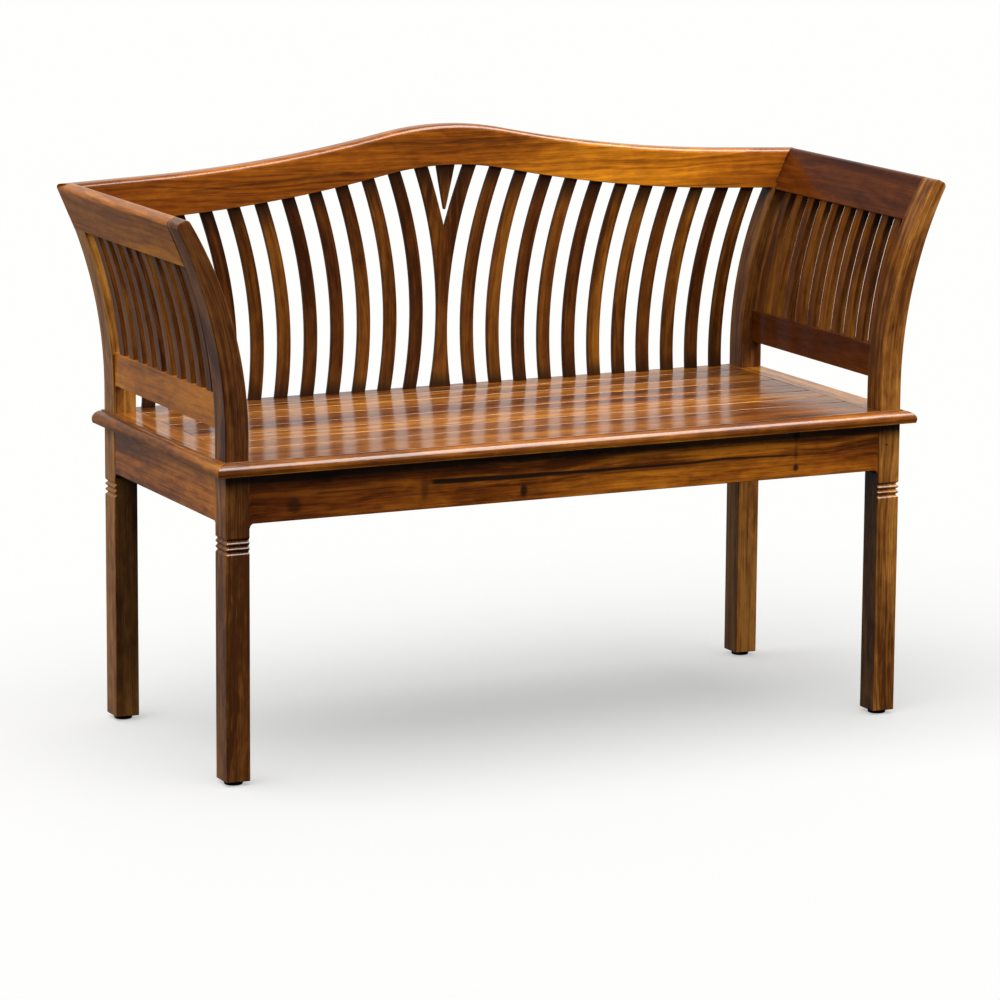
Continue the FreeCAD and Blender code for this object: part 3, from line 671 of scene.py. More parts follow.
class Shade:
    """A shader socket. Arithmetic on it adds Math nodes to its recipe."""

    def __init__(self, recipe, socket):
        self.recipe, self.socket = recipe, socket

    def math(self, operation, first, second=0.0):
        """Adds a Math node with that operation."""
        return self.recipe.node("ShaderNodeMath", {"operation": operation}, {0: first, 1: second})

    def __add__(self, other):
        return self.math("ADD", self, other)

    def __radd__(self, other):
        return self.math("ADD", other, self)

    def __sub__(self, other):
        return self.math("SUBTRACT", self, other)

    def __rsub__(self, other):
        return self.math("SUBTRACT", other, self)

    def __mul__(self, other):
        return self.math("MULTIPLY", self, other)

    def __rmul__(self, other):
        return self.math("MULTIPLY", other, self)

    def __pow__(self, other):
        return self.math("POWER", self, other)

    def sine(self):
        return self.math("SINE", self)

    def size(self):
        return self.math("ABSOLUTE", self)

    def between(self, low, high):
        """0 below low, 1 above high and a smooth step between them."""
        return self.recipe.node(
            "ShaderNodeMapRange", {"interpolation_type": "SMOOTHSTEP", "clamp": True},
            {"Value": self, "From Min": low, "From Max": high})


class Recipe:
    """The node tree of one finish or of the surround."""

    def __init__(self, holder):
        holder.use_nodes = True
        self.holder, self.tree = holder, holder.node_tree
        self.tree.nodes.clear()

    def node(self, kind, settings=None, inputs=None, output=0):
        """Adds a node: its settings first, then the values or links of its sockets."""
        node = self.tree.nodes.new(kind)
        for key, value in (settings or {}).items():
            if key == "stops":
                set_stops(node.color_ramp, value)
            else:
                setattr(node, key, value)
        for key, value in (inputs or {}).items():
            if isinstance(value, Shade):
                self.tree.links.new(value.socket, node.inputs[key])
            else:
                node.inputs[key].default_value = value
        return Shade(self, node.outputs[output]) if node.outputs else None

    def mix(self, factor, first, second):
        """The second colour laid over the first."""
        return self.node("ShaderNodeMix", {"data_type": "RGBA"},
                         {0: factor, 6: first, 7: second}, output=2)

    def split(self, vector):
        """The three numbers of a vector."""
        parts = self.node("ShaderNodeSeparateXYZ", None, {0: vector})
        return [Shade(self, socket) for socket in parts.socket.node.outputs]

    def stretched(self, place, scale):
        """A place multiplied axis by axis, so that noise on it is drawn out along the grain."""
        return self.node("ShaderNodeVectorMath", {"operation": "MULTIPLY"}, {0: place, 1: scale})

    def noise(self, place, scale, detail=2.0, roughness=0.5, distortion=0.0):
        """Noise from 0 to 1 on a stretched place."""
        return self.node("ShaderNodeTexNoise", None, {
            "Vector": self.stretched(place, scale), "Scale": 1.0, "Detail": detail,
            "Roughness": roughness, "Distortion": distortion})

    def finished(self, shader, output="ShaderNodeOutputMaterial"):
        """Joins the shader to the output, and returns what holds the tree."""
        self.node(output, None, {"Surface": shader})
        return self.holder


def set_stops(ramp, stops):
    """Puts the stops, each a place and a colour, on a colour ramp."""
    while len(ramp.elements) > 1:
        ramp.elements.remove(ramp.elements[-1])
    ramp.elements[0].position, ramp.elements[0].color = stops[0][0], (*stops[0][1], 1.0)
    for place, colour in stops[1:]:
        ramp.elements.new(place).color = (*colour, 1.0)


def tinted(colour, factor):
    """A colour times a number or times three numbers."""
    return tuple(float(v) for v in np.clip(np.array(colour) * factor, 0.0, 1.0))


def lacquered_wood(name, finish, colour, contrast, dullness, marks_of):
    """Stained hardwood under clear gloss lacquer.

    The figure adds growth rings, which are noise along the distance from a pith beside the board,
    slow drifts of colour, ribbons across the grain and fine fibres. Over it lie thin dark lines,
    pores, and what marks_of draws on boards whose heart and shade share isn't zero: dark marks,
    and on the slats painted shade at their ends. contrast stretches the figure, and dullness multiplies the
    roughness of the lacquer."""
    wood = Recipe(bpy.data.materials.new(name))
    grain = wood.node("ShaderNodeAttribute", {"attribute_name": "grain"}, output="Vector")
    board = wood.node("ShaderNodeAttribute", {"attribute_name": "board"}, output="Vector")
    seed, tone, heart = wood.split(board)
    along, across, through = wood.split(grain)
    offset = wood.node("ShaderNodeCombineXYZ", None, {0: seed, 1: seed * 1.7, 2: seed * 0.6})
    place = wood.node("ShaderNodeVectorMath", {"operation": "ADD"}, {0: grain, 1: offset})

    waver = wood.noise(place, (2.4, 7.0, 7.0), detail=2.0) - 0.5
    swirl = wood.noise(place, (9.0, 30.0, 30.0), detail=2.0) - 0.5
    side = (seed * 5.3).sine() * 0.05 + waver * 0.060 + swirl * 0.010
    depth = (seed * 3.1).sine() * 0.02 + 0.040 + waver * 0.030
    distance = ((across + side) ** 2.0 + (through + depth) ** 2.0) ** 0.5
    rings = wood.node("ShaderNodeTexNoise", {"noise_dimensions": "1D"}, {
        "W": distance * 130.0 + seed * 11.0, "Scale": 1.0, "Detail": 3.0, "Roughness": 0.60})
    drift = wood.noise(place, (2.2, 14.0, 14.0), detail=3.0, distortion=0.5)
    ribbon = wood.noise(place, (38.0, 90.0, 90.0), detail=3.0, distortion=0.4)
    fibre = wood.noise(place, (13.0, 640.0, 640.0), detail=4.0, roughness=0.62)
    lines = wood.noise(place, (2.2, 120.0, 120.0), detail=3.0, distortion=0.25).between(0.60, 0.74)
    pores = wood.noise(place, (55.0, 1500.0, 1500.0), detail=1.0).between(0.62, 0.74)

    figure = (rings - 0.5) * 0.45 + (drift - 0.5) * 0.85 + (ribbon - 0.5) * 0.30 + (fibre - 0.5) * 0.50
    stained = wood.node("ShaderNodeValToRGB", {"stops": [
        (0.30, tinted(colour, (0.36, 0.27, 0.24))),
        (0.45, tinted(colour, (0.78, 0.68, 0.60))),
        (0.56, tinted(colour, (1.14, 1.10, 1.00))),
        (0.72, tinted(colour, (1.70, 1.86, 1.70)))]}, {"Fac": figure * contrast + 0.5})
    dark = (*finish.heart_colour, 1.0)
    lined = wood.mix(lines * 0.45, stained, dark)
    # On the slats marks_of paints shade at their ends, under the crest rail and at the seat
    marked = wood.mix(marks_of(along, across, drift, heart), lined, dark) if marks_of else lined
    pored = wood.mix(pores * 0.40, marked, dark)
    toned = wood.node("ShaderNodeHueSaturation", None,
                      {"Value": tone * 0.42 + 1.0, "Hue": tone * 0.008 + 0.5, "Color": pored})
    height = fibre * 0.30 - pores * 0.7 + wood.noise(place, (9.0, 26.0, 26.0)) * 2.4
    bump = wood.node("ShaderNodeBump", None, {"Strength": 0.30, "Distance": 0.0004, "Height": height})
    rough = finish.roughness + (drift - 0.5) * 0.16 + pores * 0.15
    return wood.finished(wood.node("ShaderNodeBsdfPrincipled", None, {
        "Base Color": toned, "Roughness": rough, "Specular IOR Level": 0.20,
        "Coat Weight": finish.lacquer, "Coat Roughness": finish.lacquer_roughness * dullness,
        "Coat IOR": 1.45, "Normal": bump}))


def gathered(along, across, drift, heart):
    """Painted shade at the ends of a slat, under the crest rail and at the seat, with an uneven edge."""
    return (heart + (drift - 0.5) * heart * 1.6).between(0.0, 1.0) * 0.85


def marks_from(streaks, knots):
    """Dark marks on a board, as a function of the place on it.

    A streak is a band about a sloping line, which narrows along its length. A knot is the inside
    of an ellipse. Slow noise makes the edges of both uneven."""
    def marks_of(along, across, drift, heart):
        dark = 0.0
        for start, end, height, slope, half, end_half, strength in streaks:
            centre = along * slope + (drift - 0.5) * 0.016 + height
            width = along.between(start, end) * (end_half - half) + half
            band = 1.0 - ((across - centre).size() - width).between(-0.0012, 0.0022)
            within = along.between(start - 0.015, start + 0.005)
            ended = 1.0 - along.between(end - 0.020, end + 0.010)
            dark = band * within * ended * strength + dark
        for x, y, long, high, strength in knots:
            away = (((along - x) * (1.0 / long)) ** 2.0 + ((across - y) * (1.0 / high)) ** 2.0) ** 0.5
            dark = (1.0 - (away + (drift - 0.5) * 2.0).between(0.35, 1.25)) * strength + dark
        return dark.between(0.0, 1.0) * heart
    return marks_of


def dull_plastic(name, colour):
    """Dark moulded plastic with a fine spark-eroded texture and scuffed patches."""
    plastic = Recipe(bpy.data.materials.new(name))
    place = plastic.node("ShaderNodeTexCoord", output="Object")
    scuff = plastic.noise(place, (60.0, 60.0, 60.0), detail=3.0)
    fine = plastic.noise(place, (1800.0, 1800.0, 1800.0))
    shade = plastic.mix(scuff.between(0.45, 0.75) * 0.5, (*colour, 1.0), (*tinted(colour, 2.4), 1.0))
    bump = plastic.node("ShaderNodeBump", None, {"Strength": 0.3, "Distance": 0.0002, "Height": fine})
    return plastic.finished(plastic.node("ShaderNodeBsdfPrincipled", None, {
        "Base Color": shade, "Roughness": 0.45 + scuff * 0.25, "Normal": bump}))


def studio_floor(name, colour, glow):
    """Matt paper with a trace of mottle in its roughness, lifted evenly by its glow."""
    paper = Recipe(bpy.data.materials.new(name))
    place = paper.node("ShaderNodeTexCoord", output="Object")
    mottle = paper.noise(place, (3.0, 3.0, 3.0))
    return paper.finished(paper.node("ShaderNodeBsdfPrincipled", None, {
        "Base Color": (*colour, 1.0), "Roughness": 0.85 + mottle * 0.1, "Specular IOR Level": 0.0,
        "Emission Color": (1.0, 1.0, 0.985, 1.0), "Emission Strength": glow}))


def finish_of(slot):
    """The material of a record slot, made once."""
    name = slot + "_finish"
    if name in bpy.data.materials:
        return bpy.data.materials[name]
    finish = bpy.context.scene.bench_finish
    if slot == "glide":
        return dull_plastic(name, finish.glide_colour)
    # Colour, contrast, dullness and marks of each wood; the marks of the slats are painted shade at their
    # ends
    stains = {
        "frame_wood": (finish.frame_colour, 1.3, 1.3, marks_from((), LEG_KNOTS)),
        "apron_wood": (finish.apron_colour, 1.25, 1.3, marks_from(APRON_STREAKS, APRON_KNOTS)),
        "seat_wood": (finish.seat_colour, 1.1, 1.6, None),
        "rail_wood": (finish.rail_colour, 0.8, 1.3, marks_from(CREST_STREAKS, ())),
        "slat_wood": (finish.slat_colour, 1.2, 1.6, gathered)}
    return lacquered_wood(name, finish, *stains[slot])


# Legs, glides and aprons

def grooved_leg(lines, front):
    """A square leg whose outer and end faces are drawn in by a row of soft V grooves."""
    sizes = lines.sizes
    low_y = lines.front_y if front else lines.leg_back_front_y
    high_y = lines.leg_front_back_y if front else lines.back_y
    drop = sizes.front_groove_drop if front else sizes.back_groove_drop
    centres = lines.apron_under - drop - sizes.groove_pitch * np.arange(sizes.groove_count)
    band = np.arange(centres[-1] - sizes.groove_pitch, centres[0] + sizes.groove_pitch, GROOVE_STEP)
    places, drawn = eased_stations(lines.leg_bottom, lines.seat_under, sizes.ease, 24)
    keep = (places < band[0] - 2.0 * GROOVE_STEP) | (places > band[-1] + 2.0 * GROOVE_STEP)
    order = np.argsort(np.concatenate([places[keep], band]))
    drawn = np.concatenate([drawn[keep], np.zeros(len(band))])[order]
    places = np.concatenate([places[keep], band])[order]
    half_width = (lines.leg_x - lines.leg_inner_x) / 2.0
    space = stick(places, drawn, half_width, (high_y - low_y) / 2.0, sizes.ease)
    up, across, through = (space[..., k] for k in range(3))
    from_centre = np.abs(up[..., None] - centres).min(-1)
    reach = np.sqrt(from_centre ** 2 + (sizes.ease / 4.0) ** 2)
    cut = sizes.groove_depth * np.maximum(1.0 - 2.0 * reach / sizes.groove_width, 0.0)
    outward = -1.0 if front else 1.0
    x = (lines.leg_x + lines.leg_inner_x) / 2.0 + across - cut * (across > 0.0)
    y = (low_y + high_y) / 2.0 + through - outward * cut * (through * outward > 0.0)
    return carried(space, x, y, up)


def turned_glides(lines):
    """Four discs: a short profile of radius and height, turned about its own upright axis."""
    low, high = span_of("floor_glides")
    leg_middle = (lines.leg_x + lines.leg_inner_x) / 2.0
    radius = high[0] - leg_middle
    bevel = lines.sizes.glide_bevel
    turn = np.linspace(0.0, np.pi / 2.0, ARC_STEPS + 1)
    rim = radius - bevel * (1.0 - np.sin(turn))
    rise = low[2] + bevel * (1.0 - np.cos(turn))
    rim = np.append(rim, radius)
    rise = np.append(rise, high[2])
    round_angle = np.linspace(0.0, 2.0 * np.pi, 33)[:-1]
    x = rim[:, None] * np.cos(round_angle)
    y = rim[:, None] * np.sin(round_angle)
    z = np.broadcast_to(rise[:, None], x.shape)
    space = np.stack([x, y, z], axis=-1)
    middles = [(sx, sy) for sx in (-leg_middle, leg_middle)
               for sy in (low[1] + radius, high[1] - radius)]
    return joined([carried(space, x + sx, y + sy, z) for sx, sy in middles])


def coved_apron(low, high, near_leg, place, sizes):
    """A rail whose lower edge drops down a quarter-circle cove onto the leg at each end.

    low and high are its corners as along, through and height; place turns them into x, y and z."""
    ends = np.linspace(0.0, sizes.cove + sizes.cove_toe, 14)[1:]
    middle = np.linspace(low[0] + ends[-1], high[0] - ends[-1], 40)[1:-1]
    places = np.concatenate([[low[0]], low[0] + ends, middle, (high[0] - ends)[::-1], [high[0]]])
    space = stick(places, np.zeros(len(places)), (high[2] - low[2]) / 2.0,
                  (high[1] - low[1]) / 2.0, sizes.ease)
    along, across, through = (space[..., k] for k in range(3))
    from_leg = near_leg - np.abs(along - (low[0] + high[0]) / 2.0)
    run = np.clip(sizes.cove + sizes.cove_toe - from_leg, 0.0, sizes.cove)
    drop = sizes.cove - np.sqrt(sizes.cove ** 2 - run ** 2)
    height = (low[2] + high[2]) / 2.0 + across - drop * (across < 0.0)
    return carried(space, *place(along, (low[1] + high[1]) / 2.0 + through, height))


def long_apron(lines, node):
    """The rail between two legs along the bench."""
    low, high = span_of(node)
    gap, sizes = lines.sizes.joint_gap, lines.sizes
    reach = lines.leg_inner_x - gap
    return coved_apron((-reach, low[1], lines.apron_under), (reach, high[1], lines.seat_under),
                       lines.leg_inner_x, lambda a, t, h: (a, t, h), sizes)


def side_apron(lines):
    """The rail between the front and the back leg of one end."""
    low, high = span_of("apron_right")
    gap, sizes = lines.sizes.joint_gap, lines.sizes
    start, end = lines.leg_front_back_y + gap, lines.leg_back_front_y - gap
    return coved_apron((start, low[0], lines.apron_under), (end, high[0], lines.seat_under),
                       (lines.leg_back_front_y - lines.leg_front_back_y) / 2.0,
                       lambda a, t, h: (t, a, h), sizes)


# Seat

def moulded_section(lines, inner, edge):
    """Outline of a seat frame member: flat top, quirk, quarter-ellipse ovolo, lip and underside."""
    sizes = lines.sizes
    shelf = lines.seat_top - sizes.moulding_quirk
    step = edge - sizes.moulding_reach
    start = step + sizes.moulding_quirk
    lip = lines.seat_under + sizes.moulding_lip
    turn = np.linspace(np.pi / 2.0, 0.0, 13)
    ovolo = np.stack([start + (edge - start) * np.cos(turn), lip + (shelf - lip) * np.sin(turn)], axis=-1)
    small = sizes.ease / 4.0
    corners = np.array([[edge, lines.seat_under], [inner, lines.seat_under], [inner, lines.seat_top],
                        [step, lines.seat_top], [step, shelf]])
    eased = eased_outline(corners, [small * 2, small, small, small * 2, small])
    return np.concatenate([eased, ovolo])


def front_member(lines):
    """The front of the seat frame: its section carried along the bench, mitred at both ends."""
    front = lines.front_y
    inner_y = front + (lines.leg_x - lines.frame_inner_x)
    section = moulded_section(lines, 0.0, inner_y - lines.seat_front)
    share = np.linspace(-1.0, 1.0, 60)[:, None]
    outward, height = section[None, :, 0], section[None, :, 1]
    length = lines.frame_inner_x + outward - lines.sizes.joint_gap
    x = share * length
    y = np.broadcast_to(inner_y - outward, x.shape)
    z = np.broadcast_to(height, x.shape)
    return carried(np.stack([x, y, z], axis=-1), x, y, z)


def side_member(lines):
    """The right-hand end of the seat frame: mitred in front, square at the back."""
    section = moulded_section(lines, lines.frame_inner_x, lines.seat_edge_x)
    share = np.linspace(0.0, 1.0, 30)[:, None]
    outward, height = section[None, :, 0], section[None, :, 1]
    start = lines.seat_front + (lines.seat_edge_x - outward) + lines.sizes.joint_gap
    y = start + share * (lines.seat_back - start)
    x = np.broadcast_to(outward, y.shape)
    z = np.broadcast_to(height, y.shape)
    return carried(np.stack([y, x, z], axis=-1), x, y, z)


def back_member(lines):
    """The plain board at the back of the seat."""
    low, high = span_of("seat_frame_back")
    sizes = lines.sizes
    reach = lines.frame_inner_x - sizes.joint_gap
    places, drawn = eased_stations(-reach, reach, sizes.ease, 40)
    space = stick(places, drawn, (high[1] - low[1]) / 2.0, (high[2] - low[2]) / 2.0, sizes.ease)
    along, across, through = (space[..., k] for k in range(3))
    return carried(space, along, (low[1] + high[1]) / 2.0 + across, (low[2] + high[2]) / 2.0 + through)


def seat_board(lines, node):
    """One board of the seat, with eased edges and a top that rises in a slight parabola across it."""
    low, high = span_of(node)
    sizes = lines.sizes
    reach = lines.frame_inner_x - 2.0 * sizes.joint_gap
    places, drawn = eased_stations(-reach, reach, sizes.board_ease, 50)
    half_width, half_thick = (high[1] - low[1]) / 2.0, (high[2] - low[2]) / 2.0
    corners = np.array([[1.0, 1.0], [0.33, 1.0], [-0.33, 1.0], [-1.0, 1.0], [-1.0, -1.0], [1.0, -1.0]])
    inset = drawn[:, None, None] * sizes.board_ease
    outline = corners[None] * (np.array([half_width, half_thick]) - inset)
    cup = sizes.board_cup * (1.0 - corners[:, 0] ** 2) * (corners[:, 1] > 0.0)
    outline[..., 1] += cup - sizes.board_cup
    radii = np.array([1.0, 1.0, 1.0, 1.0, 0.5, 0.5]) * sizes.board_ease
    ring = eased_outline(outline, np.maximum(radii - inset[..., 0], sizes.board_ease * LEAST_ROUND))
    along = np.broadcast_to(places[:, None], ring.shape[:2])
    space = np.concatenate([along[..., None], ring], axis=-1)
    middle = (low + high) / 2.0
    return carried(space, along, middle[1] + ring[..., 0], middle[2] + ring[..., 1])


# Posts and arms

def flared_band(lines, top_angle, count):
    """Outer and inner edge points of a post from the seat up to a radial line of the flare."""
    sizes = lines.sizes
    upright = np.linspace(lines.seat_top, lines.flare_start, count // 3)[:-1]
    angles = np.linspace(0.0, top_angle, count)
    outer = np.concatenate([
        np.stack([np.full(len(upright), lines.leg_x), upright], axis=-1),
        np.stack(lines.radial(sizes.flare_radius, angles), axis=-1)])
    inner = np.concatenate([
        np.stack([lines.inner_x(upright), upright], axis=-1),
        np.stack(lines.radial(lines.inner_radius(angles), angles), axis=-1)])
    return outer, inner


def along_band(outer, inner, places):
    """Middle points, unit directions across and half widths of a band at places along it."""
    middle = (outer + inner) / 2.0
    step = np.linalg.norm(np.diff(middle, axis=0), axis=1)
    run = np.concatenate([[0.0], np.cumsum(step)])

    def at(values):
        return np.stack([np.interp(places, run, values[:, k]) for k in range(2)], axis=-1)

    across = at(outer) - at(inner)
    width = np.linalg.norm(across, axis=1)
    return at(middle), across / width[:, None], width / 2.0, run[-1]


def flared_post(lines, front):
    """A post: a rectangle carried up the middle of the flared, narrowing band.

    The top of a back post is cut low and drawn in, so that the crest rail covers it."""
    sizes = lines.sizes
    top_angle = lines.arm_top_angle
    if not front:
        top_angle = lines.arm_low_angle + (lines.arm_top_angle - lines.arm_low_angle) / 3.0
    outer, inner = flared_band(lines, top_angle, 120)
    length = along_band(outer, inner, np.zeros(1))[3]
    round_top = sizes.arm_round if front else sizes.ease
    places, drawn = eased_stations(0.0, length, round_top, 70)
    drawn = drawn * (places > length / 2.0)
    middle, across, half, _ = along_band(outer, inner, places)
    space = stick(places, drawn, half, lines.post_size / 2.0, sizes.ease, end_across=round_top)
    lift = space[..., 1][..., None] * across[:, None, :]
    centre_y = (lines.front_y + lines.arm_front) / 2.0 if front else (lines.arm_back + lines.back_y) / 2.0
    x, z = (middle[:, None, k] + lift[..., k] for k in range(2))
    y = centre_y + space[..., 2]
    if not front:
        crest_low = lines.crest_height(x) - sizes.crest_depth
        housed = np.minimum(z, crest_low + sizes.housing)
        z = np.where(x < lines.inner_x(z) + lines.mitre_width, housed, z)
        inside = np.minimum(y, lines.crest_back - 3.0 * sizes.joint_gap)
        y = np.where(z > crest_low - sizes.joint_gap, inside, y)
    return carried(space, x, y, z)


def arm_top_rail(lines):
    """The top rail of an arm: a slice of the flare between two angles, carried back to the mitre."""
    sizes = lines.sizes
    middle_angle = (lines.arm_low_angle + lines.arm_top_angle) / 2.0
    middle_radius = (sizes.flare_radius + lines.inner_radius(middle_angle)) / 2.0
    half_tall = middle_radius * (lines.arm_top_angle - lines.arm_low_angle) / 2.0
    half_thick = (lines.inner_radius(middle_angle) - sizes.flare_radius) / 2.0
    rounding = [sizes.arm_round, sizes.ease, sizes.ease, sizes.arm_round]
    places = np.linspace(0.0, 1.0, 40)
    space = stick(places, np.zeros(len(places)), half_tall, half_thick, sizes.ease, rounding)
    share, tall, thick = (space[..., k] for k in range(3))
    angle = middle_angle + tall / middle_radius
    inner = lines.inner_radius(angle)
    radius = (sizes.flare_radius + inner) / 2.0 + thick / half_thick * (inner - sizes.flare_radius) / 2.0
    x, z = lines.radial(radius, angle)
    start = lines.arm_front + sizes.joint_gap
    end = lines.mitre_y(x, z) - sizes.joint_gap
    y = start + share * (end - start)
    board = carried(space, x, y, z)
    grain = np.stack([y, tall, thick], axis=-1).reshape(-1, 3)
    return board._replace(grain=grain)


def arm_lower_rail(lines):
    """The straight lower rail of an arm, between its two posts."""
    low, high = span_of("arm_lower_rail_right")
    sizes = lines.sizes
    places, drawn = eased_stations(lines.arm_front + sizes.joint_gap, lines.arm_back - sizes.joint_gap,
                                   sizes.ease / 3.0, 30)
    space = stick(places, drawn, (high[2] - low[2]) / 2.0, (high[0] - low[0]) / 2.0, sizes.ease)
    along, across, through = (space[..., k] for k in range(3))
    return carried(space, (low[0] + high[0]) / 2.0 + through, along, (low[2] + high[2]) / 2.0 + across)


def arm_slats(lines):
    """The curved slats of one arm, each a rectangle carried round an arc about the flare centre."""
    sizes = lines.sizes
    radius = sizes.flare_radius + sizes.arm_slat_inset + sizes.arm_slat_thick / 2.0
    low = math.asin((lines.lower_top - sizes.housing / 2.0 - lines.flare_start) / radius)
    high = lines.arm_low_angle + sizes.housing / 2.0 / radius
    angles = np.linspace(low, high, 40)
    clear = lines.arm_back - lines.arm_front
    gap = (clear - sizes.arm_slat_count * sizes.arm_slat_width) / (sizes.arm_slat_count + 1)
    space = stick(angles * radius, np.zeros(len(angles)), sizes.arm_slat_width / 2.0,
                  sizes.arm_slat_thick / 2.0, sizes.ease)
    along, across, through = (space[..., k] for k in range(3))
    x, z = lines.radial(radius + through, along / radius)
    slats = []
    for index in range(sizes.arm_slat_count):
        middle_y = lines.arm_front + gap + sizes.arm_slat_width / 2.0 + index * (sizes.arm_slat_width + gap)
        slat = carried(space, x, middle_y + across, z)
        slats.append(slat._replace(grain=slat.grain + FIGURE_STEP * index))
    return joined(slats)


# Crest rail and back

def crest_rail(lines):
    """The crest: a rectangle rounded on top, following the crest line and mitred onto both arms."""
    sizes = lines.sizes
    depth, thick = sizes.crest_depth, lines.crest_back - lines.crest_front
    rounding = [sizes.crest_round, sizes.ease, sizes.ease, sizes.crest_round]
    places = np.linspace(-1.0, 1.0, 220)
    space = stick(places, np.zeros(len(places)), depth / 2.0, thick / 2.0, sizes.ease, rounding)
    share, up, through = (space[..., k] for k in range(3))
    y = (lines.crest_back + lines.crest_front) / 2.0 + through
    inset = lines.mitre_width * (lines.crest_back - y) / thick + sizes.joint_gap
    reach = np.full(y.shape, lines.leg_x)
    # The mitre's place depends on the height there, and a few rounds settle both
    for _ in range(3):
        z = lines.crest_height(reach) - depth / 2.0 + up
        reach = lines.outer_x(z) - inset
    x = share * reach
    z = lines.crest_height(x) - depth / 2.0 + up
    board = carried(space, x, y, z)
    return board._replace(grain=np.stack([x, z, through], axis=-1).reshape(-1, 3))


def back_slat(lines, index):
    """A right-hand back slat: a rectangle carried up its bowed, leaning middle line."""
    sizes = lines.sizes
    head_x = float(lines.slat_middle(index, lines.slat_head_level()))
    low, high = lines.seat_top - sizes.housing, lines.slat_head(head_x)
    places = np.linspace(low, high, 60)
    space = stick(places, np.zeros(len(places)), sizes.slat_width / 2.0, sizes.slat_thick / 2.0, sizes.ease)
    up, across, through = (space[..., k] for k in range(3))
    return carried(space, lines.slat_middle(index, up) + across, lines.slat_y(up) + through, up)


def leaning(lines):
    """Turns across, up and through of a back piece into x, y and z on the leaning sheet."""
    return lambda across, up, through: (across, lines.slat_y(up) + through, up)


def splat_outline(lines):
    """Half of the Y is an arc through foot, waist and head, and an arc down to the fork."""
    sizes = lines.sizes
    low, high = lines.seat_top - sizes.housing, lines.slat_head(sizes.splat_head)
    fork = (0.0, lines.crest_peak - sizes.splat_crotch_drop)
    outer = three_point_arc((sizes.splat_foot, low),
                            (sizes.splat_waist, lines.seat_top + sizes.splat_waist_rise),
                            (sizes.splat_head, high), 60)
    inner_top = np.array([sizes.splat_head - sizes.splat_branch, high])
    halfway = (inner_top + np.array(fork)) / 2.0 - np.array([sizes.splat_crotch_bow, 0.0])
    inner = three_point_arc(inner_top, halfway, fork, 30)
    right = np.concatenate([outer, inner])
    left = right[::-1][1:] * np.array([-1.0, 1.0])
    return np.concatenate([right, left])


def wedge_outline(lines):
    """A narrow wedge between two bowed edges, hanging from the crest rail."""
    sizes = lines.sizes
    top = lines.slat_head(0.0)
    tip = top - sizes.housing - sizes.wedge_drop
    halfway = ((sizes.wedge_half + sizes.wedge_tip) / 2.0 + sizes.wedge_bow, (top + tip) / 2.0)
    right = three_point_arc((sizes.wedge_tip, tip), halfway, (sizes.wedge_half, top), 24)
    return np.concatenate([right, right[::-1] * np.array([-1.0, 1.0])])


# Studio

# Softboxes, each with its place, where it points, its width and depth, and its power. They leave
# the floor alone, and only the first shows in the gloss.
LAMPS = (
    ("overhead_softbox", (1.2, -0.8, 3.1), (0.0, 0.0, 0.45), (2.6, 1.6), 130.0),
    ("front_right_softbox", (1.8, -2.2, 2.4), (0.1, 0.0, 0.5), (1.3, 1.3), 125.0),
    ("left_softbox", (-2.6, 0.2, 1.8), (-0.4, 0.0, 0.4), (1.6, 1.6), 80.0),
)
SUN_FROM = (-0.25, -0.15, 1.0)
SUN_SPREAD = math.radians(80.0)
FLOOR_REACH = 14.0
FLOOR_LINES = 29
PICTURE_GAMMA = 0.90


def add_floor(studio):
    """A wide flat sheet of paper under the bench."""
    reach = np.linspace(-FLOOR_REACH, FLOOR_REACH, FLOOR_LINES)
    x, y = np.meshgrid(reach, reach, indexing="ij")
    index = np.arange(x.size).reshape(x.shape)
    quads = np.stack([index[:-1, :-1], index[1:, :-1], index[1:, 1:], index[:-1, 1:]], axis=-1)
    mesh = bpy.data.meshes.new("studio_floor")
    mesh.from_pydata(np.stack([x, y, np.zeros_like(x)], axis=-1).reshape(-1, 3).tolist(), [],
                     quads.reshape(-1, 4).tolist())
    mesh.materials.append(studio_floor("floor_paper", studio.floor_colour, studio.floor_glow))
    floor = object_from("studio_floor", mesh)
    floor.visible_glossy = False
    floor.visible_diffuse = False
    return floor


def add_surround(scene, studio):
    """A studio that the camera sees as white. The gloss sees its back wall bright behind the
    bench and the rest dim, and the light fades away below the horizon."""
    world = bpy.data.worlds.new("white_surround")
    sky = Recipe(world)
    right, back, up = sky.split(sky.node("ShaderNodeTexCoord", output="Generated"))
    wall = (back * 0.90 + right * 0.43).between(0.45, 0.97)
    glow = wall * (studio.sky_back - studio.sky_front) + studio.sky_front
    below = up.between(-0.50, -0.12) * studio.sky_below
    seen = glow * (up.between(-0.02, 0.10) * (1.0 - below) + below)
    grey = sky.node("ShaderNodeCombineColor", None, {0: seen, 1: seen, 2: seen})
    camera = sky.node("ShaderNodeLightPath", output="Is Camera Ray")
    white = sky.mix(camera, grey, (1.0, 1.0, 1.0, 1.0))
    sky.finished(sky.node("ShaderNodeBackground", None, {"Color": white, "Strength": 1.0}),
                 "ShaderNodeOutputWorld")
    scene.world = world


def turned(side, up, away, place):
    """World matrix from its three axes and its place."""
    columns = [side, up, away, place]
    return Matrix([[float(c[row]) for c in columns] for row in range(3)] + [[0.0, 0.0, 0.0, 1.0]])


def aimed(place, target):
    """World matrix of a lamp at place that shines at target."""
    away = np.array(place) - np.array(target)
    away /= np.linalg.norm(away)
    side = np.cross((0.0, 0.0, 1.0), away)
    side /= np.linalg.norm(side)
    return turned(side, np.cross(away, side), away, place)


